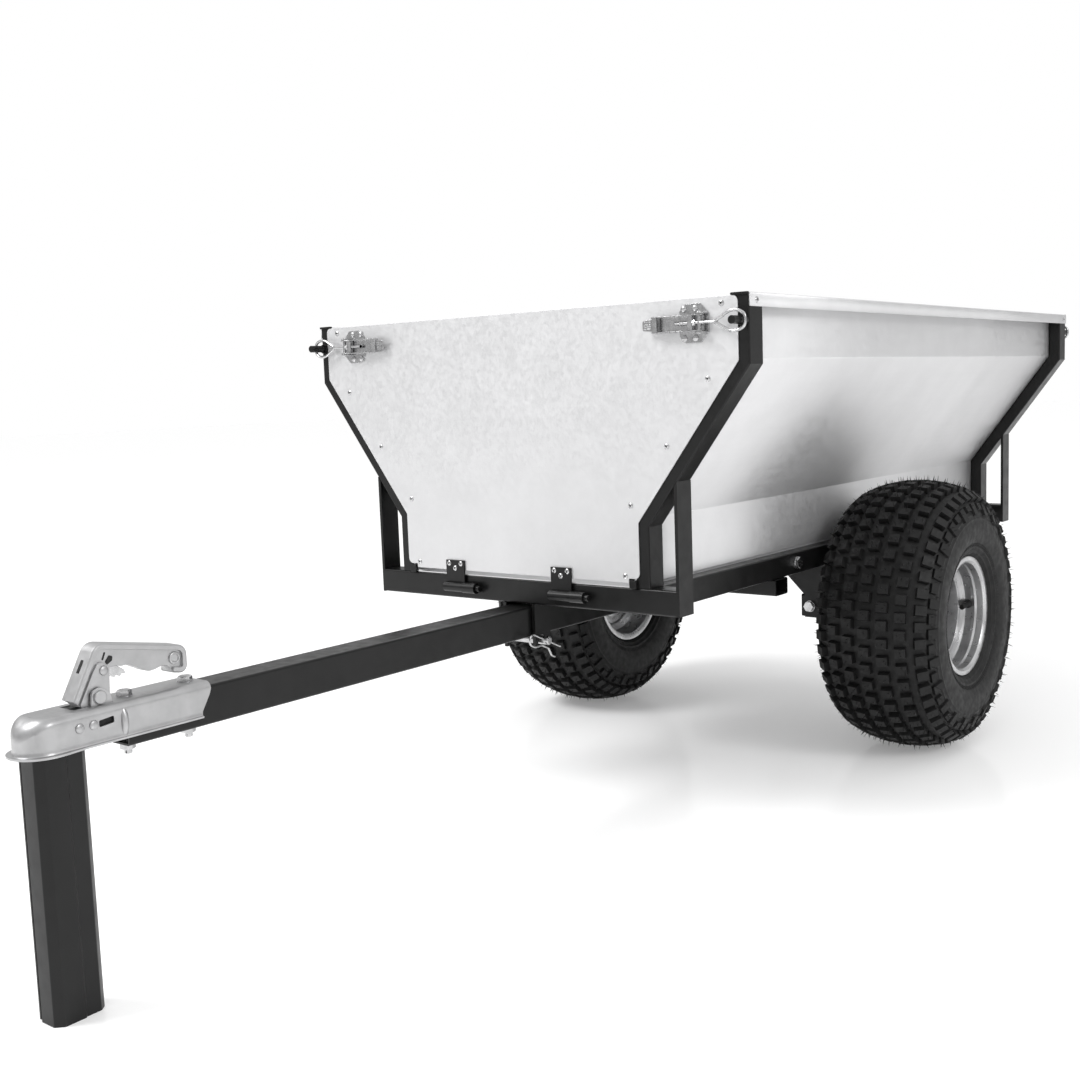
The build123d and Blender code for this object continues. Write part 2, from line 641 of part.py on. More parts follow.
def tip_pin():
    """Pin under the drawbar, headed on the right and drilled for the clip."""
    head_length, head_r = PIN_HEAD
    pin = rod_x(-PIN_END, PIN_END, PIN_Y, PIN_Z, PIN_R)
    pin += rod_x(-PIN_END - head_length, -PIN_END, PIN_Y, PIN_Z, head_r)
    pin = chamfer(pin.faces().sort_by(Axis.X)[-1].edges(), 2)
    hole = Pos(CLIP_X, PIN_Y, PIN_Z) * Rot(90 - CLIP_SLOPE, 0, 0) * Cylinder(CLIP_R + 0.08, 40)
    return pin - hole


def r_clip():
    """Spring clip: straight leg through the pin, half ring, and a waved leg that grips the pin."""
    back = -34.0
    ring_r = 9.0
    crest = -(PIN_R + CLIP_R + 2.0)
    straight = Line((0, 40, 0), (0, back, 0))
    ring = ThreePointArc((0, back, 0), (0, back - ring_r, -ring_r), (0, back, -2 * ring_r))
    turns = [(back, -2 * ring_r), (back + 9, -2 * ring_r), (-9, crest)]
    turns += [(9, crest), (22, crest - 9), (31, crest - 9)]
    waved = FilletPolyline(*[(0, y, z) for y, z in turns], radius=5)
    path = (straight + ring + waved).wire()
    section = Plane(origin=(0, 40, 0), z_dir=(0, -1, 0)) * Circle(CLIP_R)
    clip = sweep(section, path=path)
    return Pos(CLIP_X, PIN_Y, PIN_Z) * Rot(-CLIP_SLOPE, 0, 0) * clip


# ---- wheels ----------------------------------------------------------------------------
def at_wheel(shape):
    return Pos(WHEEL_X, AXLE_Y, AXLE_Z) * shape


def tyre():
    """Low-pressure tyre: sidewall and crown arcs outside and inside."""
    heel, toe = RIM_HALF - 3.5, RIM_HALF - 16
    outer = [ThreePointArc((heel, 0, RIM_R + 1), (TYRE_HALF, 0, 174), (100, 0, 228)),
             ThreePointArc((100, 0, 228), (0, 0, TYRE_R), (-100, 0, 228)),
             ThreePointArc((-100, 0, 228), (-TYRE_HALF, 0, 174), (-heel, 0, RIM_R + 1))]
    inner = [Line((-heel, 0, RIM_R + 1), (-heel, 0, SEAT_R)),
             Line((-heel, 0, SEAT_R), (-toe, 0, SEAT_R)),
             ThreePointArc((-toe, 0, SEAT_R), (-102, 0, 172), (-88, 0, 216)),
             ThreePointArc((-88, 0, 216), (0, 0, 238), (88, 0, 216)),
             ThreePointArc((88, 0, 216), (102, 0, 172), (toe, 0, SEAT_R)),
             Line((toe, 0, SEAT_R), (heel, 0, SEAT_R)),
             Line((heel, 0, SEAT_R), (heel, 0, RIM_R + 1))]
    return revolve(make_face(outer + inner), Axis.X)


def wheel_bolt_hole(index, length):
    place = Rot(45 + 90 * index, 0, 0) * Pos(DISC_X, 0, WHEEL_BOLT_CIRCLE) * Rot(0, 90, 0)
    return place * Cylinder(M12_HOLE, length)


def rim():
    """Stepped barrel with its disc far inboard."""
    t = RIM_SHEET
    edge = RIM_HALF
    under = [(edge, RIM_R), (edge, SEAT_R - t), (50, SEAT_R - t), (42, WELL_R - t)]
    over = [(42, WELL_R), (50, SEAT_R), (edge - t, SEAT_R), (edge - t, RIM_R)]
    under += [(-x, r) for x, r in under[::-1]]
    over = [(-x, r) for x, r in over[::-1]] + over
    barrel = revolve_x(under + over)
    disc = revolve_x([(DISC_X, 30), (DISC_X + 4, 30), (DISC_X + 4, WELL_R - t), (DISC_X, WELL_R - t)])
    for i in range(WHEEL_BOLTS):
        disc -= wheel_bolt_hole(i, 30)
    return barrel + disc


def hub():
    """Hub with a wheel flange behind the disc, bored for the stub axle."""
    x0, x1 = HUB_X
    body = revolve_x([(x0, STUB_R + RUN), (x1, STUB_R + RUN), (x1, 26), (DISC_X + 4, 29), (DISC_X, 29),
                      (DISC_X, 64), (DISC_X - 8, 64), (DISC_X - 12, 31), (x0, 28)])
    for i in range(WHEEL_BOLTS):
        body -= wheel_bolt_hole(i, 40)
    return body


def wheel_bolts():
    placed = []
    for i in range(WHEEL_BOLTS):
        place = Rot(45 + 90 * i, 0, 0) * Pos(DISC_X + 4, 0, WHEEL_BOLT_CIRCLE) * TO_LEFT
        placed.append(place * bolt(M12, 18, M12_FLATS - 1, 8))
    return placed


# ---- coupling --------------------------------------------------------------------------
def coupling_shell():
    """Pressed ball coupling over the drawbar's end, with ears for the handle."""
    body = box(-SHELL_HALF, SHELL_HALF, BALL_Y, SHELL_REAR, SHELL_BOTTOM, SHELL_TOP)
    body += rod_z(0, BALL_Y, SHELL_BOTTOM, SHELL_TOP, SHELL_HALF)
    rear_edge = body.faces().sort_by(Axis.Y)[-1]
    rim_edges = [edge for edge in body.faces().sort_by(Axis.Z)[-1].edges()
                 if abs(edge.center().Y - rear_edge.center().Y) > 1]
    body = fillet(rim_edges, 9)
    lip = box(-SHELL_HALF - 4, SHELL_HALF + 4, BALL_Y, SHELL_REAR - 14, SHELL_BOTTOM, SHELL_BOTTOM + 3)
    lip += rod_z(0, BALL_Y, SHELL_BOTTOM, SHELL_BOTTOM + 3, NOSE_FLANGE)
    body += lip
    for side in (1, -1):
        body += rod_z(side * SHELL_HALF, RIB_Y, SHELL_BOTTOM, SHELL_TOP - 8, 3)
        inner, outer = sorted((side * EAR_X[0], side * EAR_X[1]))
        ear = plate_yz([(HANDLE_Y - 22, SHELL_TOP - 2), (HANDLE_Y - 9, HANDLE_Z + 4),
                        (HANDLE_Y + 9, HANDLE_Z + 4), (HANDLE_Y + 22, SHELL_TOP - 2)], inner, outer)
        body += ear + rod_x(inner, outer, HANDLE_Y, HANDLE_Z, 10)
    body -= box(-SHELL_INNER, SHELL_INNER, BALL_Y + 8, SHELL_REAR + 1, SHELL_BOTTOM - 1, DRAWBAR_TOP + 0.1)
    body -= rod_z(0, BALL_Y, SHELL_BOTTOM - 1, BALL_Z, SOCKET_R) + Pos(0, BALL_Y, BALL_Z) * Sphere(SOCKET_R)
    body -= plate_yz([(SHELL_REAR + 1, 343), (SHELL_REAR + 1, 314), (SHELL_REAR - 16, 314)], -50, 50)
    body -= box(-50, 50, *SIDE_SLOT)
    body -= rod_x(-30, 30, HANDLE_Y, HANDLE_Z, HANDLE_PIN_R)
    for y in COUPLING_BOLT_Y:
        body -= rod_z(0, y, DRAWBAR_TOP - 5, SHELL_TOP + 5, COUPLING_HOLE_R)
    for y in SIDE_RIVET_Y:
        body -= rod_x(-50, 50, y, SIDE_RIVET_Z, SIDE_RIVET_R)
    return body


def coupling_bolts():
    placed = []
    for y in COUPLING_BOLT_Y:
        placed.append(Pos(0, y, SHELL_TOP) * bolt(COUPLING_BOLT_R, SHELL_TOP - DRAWBAR_BOTTOM + 20, 16, 6.5))
        placed.append(Pos(0, y, DRAWBAR_BOTTOM) * nut(COUPLING_BOLT_R, 16, 9))
    return placed


def coupling_rivets():
    placed = []
    for y in SIDE_RIVET_Y:
        head = rod_x(SHELL_HALF, SHELL_HALF + 3, y, SIDE_RIVET_Z, 2 * SIDE_RIVET_R)
        head = fillet(head.faces().sort_by(Axis.X)[-1].edges(), 2)
        placed += both_sides(head + rod_x(SHELL_INNER, SHELL_HALF, y, SIDE_RIVET_Z, SIDE_RIVET_R))
    return placed


def handle_pin():
    pin = rod_x(-EAR_X[1], EAR_X[1], HANDLE_Y, HANDLE_Z, HANDLE_PIN_R)
    for side in (1, -1):
        x0, x1 = sorted((side * EAR_X[1], side * (EAR_X[1] + 3)))
        pin += rod_x(x0, x1, HANDLE_Y, HANDLE_Z, 7.5)
    return pin


def coupling_jaw():
    """Sliding jaw behind the ball, short enough for the handle's foot to swing past."""
    jaw = box(-JAW_HALF, JAW_HALF, BALL_Y + 18, BALL_Y + JAW_REACH, BALL_Z - 8, BALL_Z + 20)
    jaw -= rod_z(0, BALL_Y, BALL_Z - 20, BALL_Z + 30, SOCKET_R + 0.1)
    return jaw


def handle_outline():
    """Side view of the handle, with three finger waves below the grip."""
    top = [(-804, 367), (-807, 396), (-801, 423), (-790, 430), (-768, 429), (-688, 415), (-676, 411)]
    top += [(-671, 403), (-676, 394)]
    edges = [Polyline(*[(0, y, z) for y, z in top])]
    waves = [(-676, 394), (-702, 399), (-728, 404), (-754, 408)]
    for (y0, z0), (y1, z1) in zip(waves, waves[1:]):
        crown = (0, (y0 + y1) / 2, (z0 + z1) / 2 + 4)
        edges.append(ThreePointArc((0, y0, z0), crown, (0, y1, z1)))
    foot = [(-754, 408), (-768, 408), (-778, 400), (-784, 384), (-784, 367)]
    edges.append(Polyline(*[(0, y, z) for y, z in foot]))
    edges.append(Line((0, -784, 367), (0, -804, 367)))
    return make_face(edges)


def coupling_handle():
    """Pressed channel: two sides, a back and a pivot boss, open below."""
    outline = handle_outline()
    body = extrude(outline, HANDLE_HALF, dir=(1, 0, 0)) + extrude(outline, HANDLE_HALF, dir=(-1, 0, 0))
    body += rod_x(-HANDLE_HALF, HANDLE_HALF, HANDLE_Y, HANDLE_Z, 9)
    inner = HANDLE_HALF - HANDLE_SHEET
    hollow = [(-800, 350), (-803, 396), (-797, 421), (-788, 426), (-768, 425), (-688, 411), (-679, 408)]
    hollow += [(-679, 350)]
    body -= plate_yz(hollow, -inner, inner)
    body -= rod_x(-20, 20, HANDLE_Y, HANDLE_Z, HANDLE_PIN_R + RUN)
    body -= rod_x(-20, 20, TRIGGER_Y, TRIGGER_Z, TRIGGER_PIN_R + RUN)
    return body - rod_x(-20, 20, -683, 403, 4)


def handle_trigger():
    """Safety catch on its own rivet inside the handle."""
    half = HANDLE_HALF - HANDLE_SHEET - 0.4
    outline = [(-790, 415), (-780, 416), (-768, 402), (-762, 386), (-769, 383), (-778, 396), (-791, 405)]
    blade = plate_yz(outline, -half, half)
    blade += rod_x(-HANDLE_HALF - 2.5, HANDLE_HALF + 2.5, TRIGGER_Y, TRIGGER_Z, TRIGGER_PIN_R)
    for side in (1, -1):
        x0, x1 = sorted((side * (HANDLE_HALF + 0.4), side * (HANDLE_HALF + 2.5)))
        blade += rod_x(x0, x1, TRIGGER_Y, TRIGGER_Z, TRIGGER_PIN_R + 2)
    return blade


# ---- stand -----------------------------------------------------------------------------
def stand_channel():
    """Folded channel that props the coupling, slotted along its front."""
    width, depth = STAND_SIZE
    bend = 9.0
    half_w, half_d = width / 2, depth / 2
    points = [(-half_w + bend, -half_d), (half_w - bend, -half_d)]
    points += [(half_w, -half_d + bend), (half_w, half_d - bend)]
    points += [(half_w - bend, half_d), (-half_w + bend, half_d)]
    points += [(-half_w, half_d - bend), (-half_w, -half_d + bend)]
    outer = make_face(Polyline(*points, close=True))
    section = outer - offset(outer, -STAND_WALL)
    section -= Pos(0, -half_d) * Rectangle(STAND_SLOT, 4 * STAND_WALL)
    channel = extrude(section, STAND_TOP)
    cap = offset(outer, -STAND_WALL)
    channel += Pos(0, 0, STAND_TOP - 22) * extrude(cap, 5)
    return Pos(0, STAND_Y, 0) * channel - Pos(0, BALL_Y, BALL_Z) * Sphere(BALL_R + 0.5)


def stand_ball():
    base = STAND_TOP - 17
    ball = Pos(0, BALL_Y, BALL_Z) * Sphere(BALL_R)
    return ball + rod_z(0, BALL_Y, base, BALL_Z - 15, 13)


# ---- write the nodes -------------------------------------------------------------------
def write_tub():
    save("crossbars", both_ends([crossbar()]))
    save("frame_arms", both_ends(both_sides(frame_arm())))
    save("corner_posts", both_ends(both_sides(corner_post())))
    save("side_rails", both_sides(side_rail()))
    save("floor_cross_members", [piece for y in CROSS_MEMBER_Y for piece in cross_member(y)])
    save("floor_sheet", [floor_sheet()])
    left, right = both_sides(side_sheet())
    save("left_side_sheet", [left])
    save("right_side_sheet", [right])
    save("tub_rivets", tub_rivets())
    save("saddle_plates", both_sides(saddle_plate()))
    save("latch_keepers", both_ends([half for piece in keeper() for half in both_sides(piece)]))
    save("hinge_pintles", both_ends([hinge_pintle(x) for x in HINGE_LEAF_X]))
    save("rail_bolts", [half for y in CROSS_MEMBER_Y for piece in rail_bolt(y) for half in both_sides(piece)])


def write_gate(end, place):
    """One gate with its two latches; place() puts a front piece at this end."""
    save(f"{end}_gate_panel", [place(gate_panel())])
    save(f"{end}_gate_stiffener", [place(gate_stiffener())])
    save(f"{end}_gate_hinges", [place(hinge_leaf(x)) for x in HINGE_LEAF_X])
    save(f"{end}_gate_rivets", [place(piece) for piece in gate_rivets()])
    save(f"{end}_latch_bases", [place(piece) for piece in both_sides(latch_base())])
    levers = [place(piece) for piece in both_sides(latch_lever())]
    loops = [place(piece) for piece in both_sides(latch_loop())]
    names = ("left", "right") if end == "front" else ("right", "left")
    for name, lever, loop in zip(names, levers, loops):
        save(f"{end}_{name}_latch_lever", [lever])
        save(f"{end}_{name}_latch_loop", [loop])


def write_chassis():
    beam_front = AXLE_Y - AXLE_TUBE / 2
    beam_back = AXLE_Y + AXLE_TUBE / 2
    save("drawbar", [drawbar()])
    save("support_arms", both_sides(support_arm()))
    save("axle_beam", [axle_beam()])
    gussets = both_sides(axle_gusset(beam_front - GUSSET)) + both_sides(axle_gusset(beam_back))
    save("axle_gussets", gussets)
    save("axle_tubes", both_sides(axle_tube()))
    save("stub_axles", both_sides(stub_axle()))
    save("axle_clamp_bolts", [half for piece in axle_clamp_bolt() for half in both_sides(piece)])
    save("castle_nuts", both_sides(castle_nut()))
    save("pivot_lugs", both_sides(pivot_lug()))
    save("pivot_bolts", [half for piece in pivot_bolt() for half in both_sides(piece)])
    save("tip_pin", [tip_pin()])
    save("r_clip", [r_clip()])


def write_wheels():
    pieces = {"tyre": [tyre()], "rim": [rim()], "hub": [hub()], "wheel_bolts": wheel_bolts()}
    for name, shapes in pieces.items():
        left = [at_wheel(shape) for shape in shapes]
        save(f"left_{name}", left)
        save(f"right_{name}", [mirror(shape, about=Plane.YZ) for shape in left])


def write_coupling():
    save("coupling_shell", [coupling_shell()])
    save("coupling_bolts", coupling_bolts())
    save("coupling_rivets", coupling_rivets())
    save("handle_pin", [handle_pin()])
    save("coupling_jaw", [coupling_jaw()])
    save("coupling_handle", [coupling_handle()])
    save("handle_trigger", [handle_trigger()])
    save("stand_channel", [stand_channel()])
    save("stand_ball", [stand_ball()])


write_tub()
write_gate("front", lambda shape: shape)
write_gate("rear", to_rear)
write_chassis()
write_wheels()
write_coupling()
print(len(nodes), "nodes, origin at tub front +", ORIGIN_Y)
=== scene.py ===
import json
import random
from math import atan2, cos, pi, radians, sin, tan

import bmesh
import bpy
from mathutils import Matrix, Vector


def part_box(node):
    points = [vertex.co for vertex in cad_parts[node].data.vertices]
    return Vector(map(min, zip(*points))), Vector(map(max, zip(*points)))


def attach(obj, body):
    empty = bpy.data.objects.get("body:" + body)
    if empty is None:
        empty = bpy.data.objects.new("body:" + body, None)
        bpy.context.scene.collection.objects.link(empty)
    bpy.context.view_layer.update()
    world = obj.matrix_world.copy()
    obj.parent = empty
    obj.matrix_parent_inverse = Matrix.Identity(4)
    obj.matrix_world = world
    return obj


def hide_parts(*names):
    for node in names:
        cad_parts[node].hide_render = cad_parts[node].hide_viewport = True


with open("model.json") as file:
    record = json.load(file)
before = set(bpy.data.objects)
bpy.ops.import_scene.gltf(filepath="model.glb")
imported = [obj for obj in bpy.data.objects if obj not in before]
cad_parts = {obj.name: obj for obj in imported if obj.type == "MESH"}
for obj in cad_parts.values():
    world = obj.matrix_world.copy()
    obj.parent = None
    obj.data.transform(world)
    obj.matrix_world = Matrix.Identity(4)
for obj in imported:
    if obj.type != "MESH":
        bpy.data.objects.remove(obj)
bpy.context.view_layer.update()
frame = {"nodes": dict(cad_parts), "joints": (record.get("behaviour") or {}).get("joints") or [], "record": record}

# Shapes are built in millimetres: X across, Y back from the tub's front face, Z up from the ground.
MM = 0.001
FRONT_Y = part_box("crossbars")[0].y
BLACK, GALV, ZINC = "black_powder_coat", "galvanised_sheet", "zinc_plate"
CAST, TYRE, RIM = "coupling_zinc", "tyre_rubber", "rim_silver"


def box_mm(node):
    """Lowest and highest corner of a CAD node, in the units that shapes are built in."""
    low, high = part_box(node)
    shift = Vector((0, FRONT_Y, 0))
    return (low - shift) / MM, (high - shift) / MM


def joint_mm(name):
    joint = [j for j in frame["joints"] if j["name"] == name][0]
    return (Vector(joint["pos_m"]) - Vector((0, FRONT_Y, 0))) / MM


TUB_LENGTH = box_mm("crossbars")[1].y
TUB_TOP = box_mm("left_side_sheet")[1].z
FLOOR_TOP = box_mm("floor_sheet")[1].z
UPPER_HALF = box_mm("frame_arms")[1].x
LOWER_HALF = box_mm("side_rails")[1].x
TO_REAR = Matrix.Translation((0, TUB_LENGTH, 0)) @ Matrix.Rotation(pi, 4, "Z")
MIRROR = Matrix.Scale(-1, 4, (1, 0, 0))
HERE = Matrix.Identity(4)
CORNERS = [place @ mirror for place in (HERE, TO_REAR) for mirror in (HERE, MIRROR)]


# ---- shapes ------------------------------------------------------------------------------
def on_axis(axis, u, v, along):
    """Point at (u, v) across an axis, so far along it."""
    return {"x": (along, u, v), "y": (u, along, v), "z": (u, v, along)}[axis]


class Shape:
    """Points and faces gathered for one piece."""

    def __init__(self):
        self.points = []
        self.faces = []

    def add(self, points, faces):
        first = len(self.points)
        self.points += [Vector(p) for p in points]
        self.faces += [[first + i for i in face] for face in faces]
        return self

    def join(self, other):
        return self.add(other.points, other.faces)

    def moved(self, matrix):
        made = Shape()
        made.points = [matrix @ p for p in self.points]
        made.faces = [list(face) for face in self.faces]
        return made

    def loft(self, rings, round_ring=True, joined=False, caps=True):
        """Skin over rings of equally many points."""
        count, total = len(rings[0]), len(rings)
        faces = []
        for k in range(total if joined else total - 1):
            a, b = k * count, (k + 1) % total * count
            for i in range(count if round_ring else count - 1):
                j = (i + 1) % count
                faces.append([a + i, a + j, b + j, b + i])
        if caps and not joined:
            faces.append(list(range(count))[::-1])
            faces.append([(total - 1) * count + i for i in range(count)])
        return self.add([p for ring in rings for p in ring], faces)

    def prism(self, outline, low, high, axis="y"):
        """Outline extruded along an axis from low to high."""
        return self.loft([[on_axis(axis, u, v, t) for u, v in outline] for t in (low, high)])

    def block(self, x0, x1, y0, y1, z0, z1):
        return self.prism([(x0, z0), (x1, z0), (x1, z1), (x0, z1)], y0, y1)

    def lathe(self, profile, centre, axis="x", steps=48, joined=False):
        """Profile of (along, radius) turned about an axis through the centre."""
        rings = []
        for along, radius in profile:
            ring = []
            for i in range(steps):
                u, v = radius * cos(2 * pi * i / steps), radius * sin(2 * pi * i / steps)
                offset = {"x": (along, u, v), "y": (v, along, u), "z": (u, v, along)}[axis]
                ring.append(Vector(centre) + Vector(offset))
            rings.append(ring)
        return self.loft(rings, joined=joined)

    def wire(self, path, radius, sides=12, joined=False):
        """Round bar along a path."""
        path = [Vector(p) for p in path]
        rings, up, last = [], None, None
        for i, p in enumerate(path):
            before = path[i - 1] if i or joined else p
            after = path[(i + 1) % len(path)] if i < len(path) - 1 or joined else p
            along = (after - before).normalized()
            if up is None:
                up = along.orthogonal().normalized()
            else:
                up = (last.rotation_difference(along) @ up).normalized()
            side, last = along.cross(up), along
            turns = [2 * pi * k / sides for k in range(sides)]
            rings.append([p + radius * (cos(t) * up + sin(t) * side) for t in turns])
        return self.loft(rings, joined=joined)


def rounded(points, radii, steps=6, closed=True):
    """2-D outline with its corners turned to arcs."""
    count = len(points)
    radii = radii if isinstance(radii, (list, tuple)) else [radii] * count
    made = []
    for i in range(count):
        p = Vector(points[i])
        if radii[i] <= 0 or (not closed and i in (0, count - 1)):
            made.append(tuple(p))
            continue
        a = Vector(points[i - 1]) - p
        b = Vector(points[(i + 1) % count]) - p
        half = a.angle(b) / 2
        reach = min(radii[i] / tan(half), a.length * 0.49, b.length * 0.49)
        radius = reach * tan(half)
        middle = p + (a.normalized() + b.normalized()).normalized() * (radius / sin(half))
        start = p + a.normalized() * reach - middle
        end = p + b.normalized() * reach - middle
        turn = atan2(start.x * end.y - start.y * end.x, start.dot(end))
        for k in range(steps + 1):
            spun = Matrix.Rotation(turn * k / steps, 2) @ start
            made.append(tuple(middle + spun))
    return made


def curve(points, steps=8, closed=False):
    """Smooth line through points (Catmull-Rom), in as many dimensions as they have."""
    points = [Vector(p) for p in points]
    count = len(points)
    made = []
    for i in range(count if closed else count - 1):
        if closed:
            a, b, c, d = (points[(i + k) % count] for k in (-1, 0, 1, 2))
        else:
            b, c = points[i], points[i + 1]
            a = points[i - 1] if i else 2 * b - c
            d = points[i + 2] if i + 2 < count else 2 * c - b
        for k in range(steps):
            t = k / steps
            made.append(0.5 * (2 * b + (c - a) * t + (2 * a - 5 * b + 4 * c - d) * t * t
                               + (3 * b - a - 3 * c + d) * t * t * t))
    if not closed:
        made.append(points[-1])
    return [tuple(p) for p in made]


def at_corners(part):
    """A shape repeated at the tub's four corners."""
    shape = Shape()
    for corner in CORNERS:
        shape.join(part.moved(corner))
    return shape


def mesh_of(shape, name):
    mesh = bpy.data.meshes.new(name)
    points = [(p.x * MM, p.y * MM + FRONT_Y, p.z * MM) for p in shape.points]
    mesh.from_pydata(points, [], shape.faces)
    work = bmesh.new()
    work.from_mesh(mesh)
    bmesh.ops.recalc_face_normals(work, faces=work.faces)
    work.to_mesh(mesh)
    work.free()
    return mesh


def apply_modifiers(piece):
    bpy.context.view_layer.update()
    mesh = bpy.data.meshes.new_from_object(piece.evaluated_get(bpy.context.evaluated_depsgraph_get()))
    piece.modifiers.clear()
    piece.data = mesh


def build(name, shape, material, body, replaces=(),
          bevel=0.0, wall=0.0, cuts=None, smooth=32):
    """Turn a shape into a piece that rides on a body."""
    piece = bpy.data.objects.new(name, mesh_of(shape, name))
    bpy.context.scene.collection.objects.link(piece)
    if wall:
        skin = piece.modifiers.new("wall", "SOLIDIFY")
        skin.thickness = wall * MM
        skin.offset = 0
        skin.use_even_offset = True
    if cuts:
        cutter = bpy.data.objects.new("cutter", mesh_of(cuts, "cutter"))
        bpy.context.scene.collection.objects.link(cutter)
        hole = piece.modifiers.new("cut", "BOOLEAN")
        hole.object = cutter
        hole.solver = "EXACT"
        hole.use_self = True
        apply_modifiers(piece)
        bpy.data.objects.remove(cutter)
    if bevel:
        edge = piece.modifiers.new("edge", "BEVEL")
        edge.width = bevel * MM
        edge.segments = 2
        edge.limit_method = "ANGLE"
        edge.angle_limit = radians(smooth)
        edge.harden_normals = True
    piece.data.materials.clear()
    piece.data.materials.append(material)
    piece.data.shade_smooth()
    piece.data.set_sharp_from_angle(angle=radians(smooth))
    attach(piece, body)
    if replaces:
        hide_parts(*replaces)
    return piece


# ---- materials ---------------------------------------------------------------------------
class Surface:
    """A node material with object-space noise to vary its colour, gloss and relief."""

    def __init__(self, name, metal, specular=0.5):
        self.material = bpy.data.materials.new(name)
        self.material.use_nodes = True
        self.nodes = self.material.node_tree.nodes
        self.links = self.material.node_tree.links
        self.shader = self.nodes["Principled BSDF"]
        self.shader.inputs["Metallic"].default_value = metal
        self.shader.inputs["Specular IOR Level"].default_value = specular
        self.place = self.nodes.new("ShaderNodeTexCoord").outputs["Object"]

    def noise(self, scale, detail=4.0, stretch=(1, 1, 1)):
        spread = self.nodes.new("ShaderNodeMapping")
        spread.inputs["Scale"].default_value = stretch
        self.links.new(self.place, spread.inputs["Vector"])
        texture = self.nodes.new("ShaderNodeTexNoise")
        texture.inputs["Scale"].default_value = scale
        texture.inputs["Detail"].default_value = detail
        self.links.new(spread.outputs["Vector"], texture.inputs["Vector"])
        return texture.outputs["Fac"]

    def cells(self, scale):
        texture = self.nodes.new("ShaderNodeTexVoronoi")
        texture.inputs["Scale"].default_value = scale
        self.links.new(self.place, texture.inputs["Vector"])
        grey = self.nodes.new("ShaderNodeSeparateColor")
        self.links.new(texture.outputs["Color"], grey.inputs["Color"])
        return grey.outputs["Red"]

    def mixed(self, first, second, share):
        blend = self.nodes.new("ShaderNodeMix")
        blend.inputs["Factor"].default_value = share
        self.links.new(first, blend.inputs["A"])
        self.links.new(second, blend.inputs["B"])
        return blend.outputs["Result"]

    def colour(self, source, dark, light, low=0.3, high=0.7):
        ramp = self.nodes.new("ShaderNodeValToRGB")
        ramp.color_ramp.elements[0].position = low
        ramp.color_ramp.elements[1].position = high
        ramp.color_ramp.elements[0].color = (dark, dark, dark * 1.01, 1)
        ramp.color_ramp.elements[1].color = (light, light, light * 1.01, 1)
        self.links.new(source, ramp.inputs["Fac"])
        self.links.new(ramp.outputs["Color"], self.shader.inputs["Base Color"])

    def roughness(self, source, low, high):
        spread = self.nodes.new("ShaderNodeMapRange")
        spread.inputs["From Min"].default_value = 0.3
        spread.inputs["From Max"].default_value = 0.7
        spread.inputs["To Min"].default_value = low
        spread.inputs["To Max"].default_value = high
        self.links.new(source, spread.inputs["Value"])
        self.links.new(spread.outputs["Result"], self.shader.inputs["Roughness"])

    def bump(self, source, depth_mm, strength=1.0):
        relief = self.nodes.new("ShaderNodeBump")
        relief.inputs["Distance"].default_value = depth_mm * MM
        relief.inputs["Strength"].default_value = strength
        self.links.new(source, relief.inputs["Height"])
        self.links.new(relief.outputs["Normal"], self.shader.inputs["Normal"])


def black_powder_coat():
    look = Surface(BLACK, 0.0, 0.3)
    look.colour(look.noise(14, 6), 0.003, 0.005)
    look.roughness(look.noise(60, 5), 0.28, 0.42)
    look.bump(look.noise(900, 3), 0.05, 0.5)
    return look.material


def galvanised():
    look = Surface(GALV, 0.8)
    spangle = look.mixed(look.cells(150), look.noise(16, 9), 0.8)
    look.colour(spangle, 0.63, 0.67)
    look.roughness(look.mixed(look.cells(150), look.noise(120, 6, (1, 0.06, 1)), 0.6), 0.44, 0.54)
    look.bump(look.noise(350, 5, (1, 0.08, 1)), 0.02, 0.5)
    return look.material


def zinc():
    look = Surface(ZINC, 1.0)
    look.colour(look.noise(120, 6), 0.4, 0.54)
    look.roughness(look.noise(90, 4), 0.2, 0.3)
    look.bump(look.noise(260, 3), 0.02, 0.2)
    return look.material


def coupling_zinc():
    look = Surface(CAST, 0.9)
    look.colour(look.noise(38, 8), 0.38, 0.45)
    look.roughness(look.noise(140, 6), 0.32, 0.46)
    look.bump(look.noise(420, 5), 0.05, 0.4)
    return look.material


def rubber():
    look = Surface(TYRE, 0.0, 0.35)
    look.colour(look.noise(45, 7), 0.003, 0.006)
    look.roughness(look.noise(90, 6), 0.5, 0.72)
    look.bump(look.noise(800, 5), 0.12, 0.5)
    return look.material


def rim_enamel():
    look = Surface(RIM, 0.9)
    look.colour(look.noise(25, 6), 0.42, 0.56)
    look.roughness(look.noise(80, 5), 0.24, 0.38)
    look.bump(look.noise(600, 4), 0.03, 0.3)
    return look.material


# Painted shade: a near-black material for small pieces set where slots, holes and gaps fall into shade.
def painted_shade_material():
    look = Surface("painted_shade_material", 0.3, 0.3)
    look.colour(look.noise(200, 4), 0.01, 0.03)
    look.roughness(look.noise(300, 4), 0.5, 0.7)
    return look.material


LOOKS = {BLACK: black_powder_coat(), GALV: galvanised(), ZINC: zinc(), CAST: coupling_zinc(),
         TYRE: rubber(), RIM: rim_enamel()}
PAINTED_SHADE = painted_shade_material()


def finish_cad_nodes():
    """Every CAD node that stays gets the detailed material of its slot."""
    slots = {part["node"]: part["material_slot"] for part in frame["record"]["subparts"]}
    for name, node in frame["nodes"].items():
        node.data.materials.clear()
        node.data.materials.append(LOOKS[slots[name]])


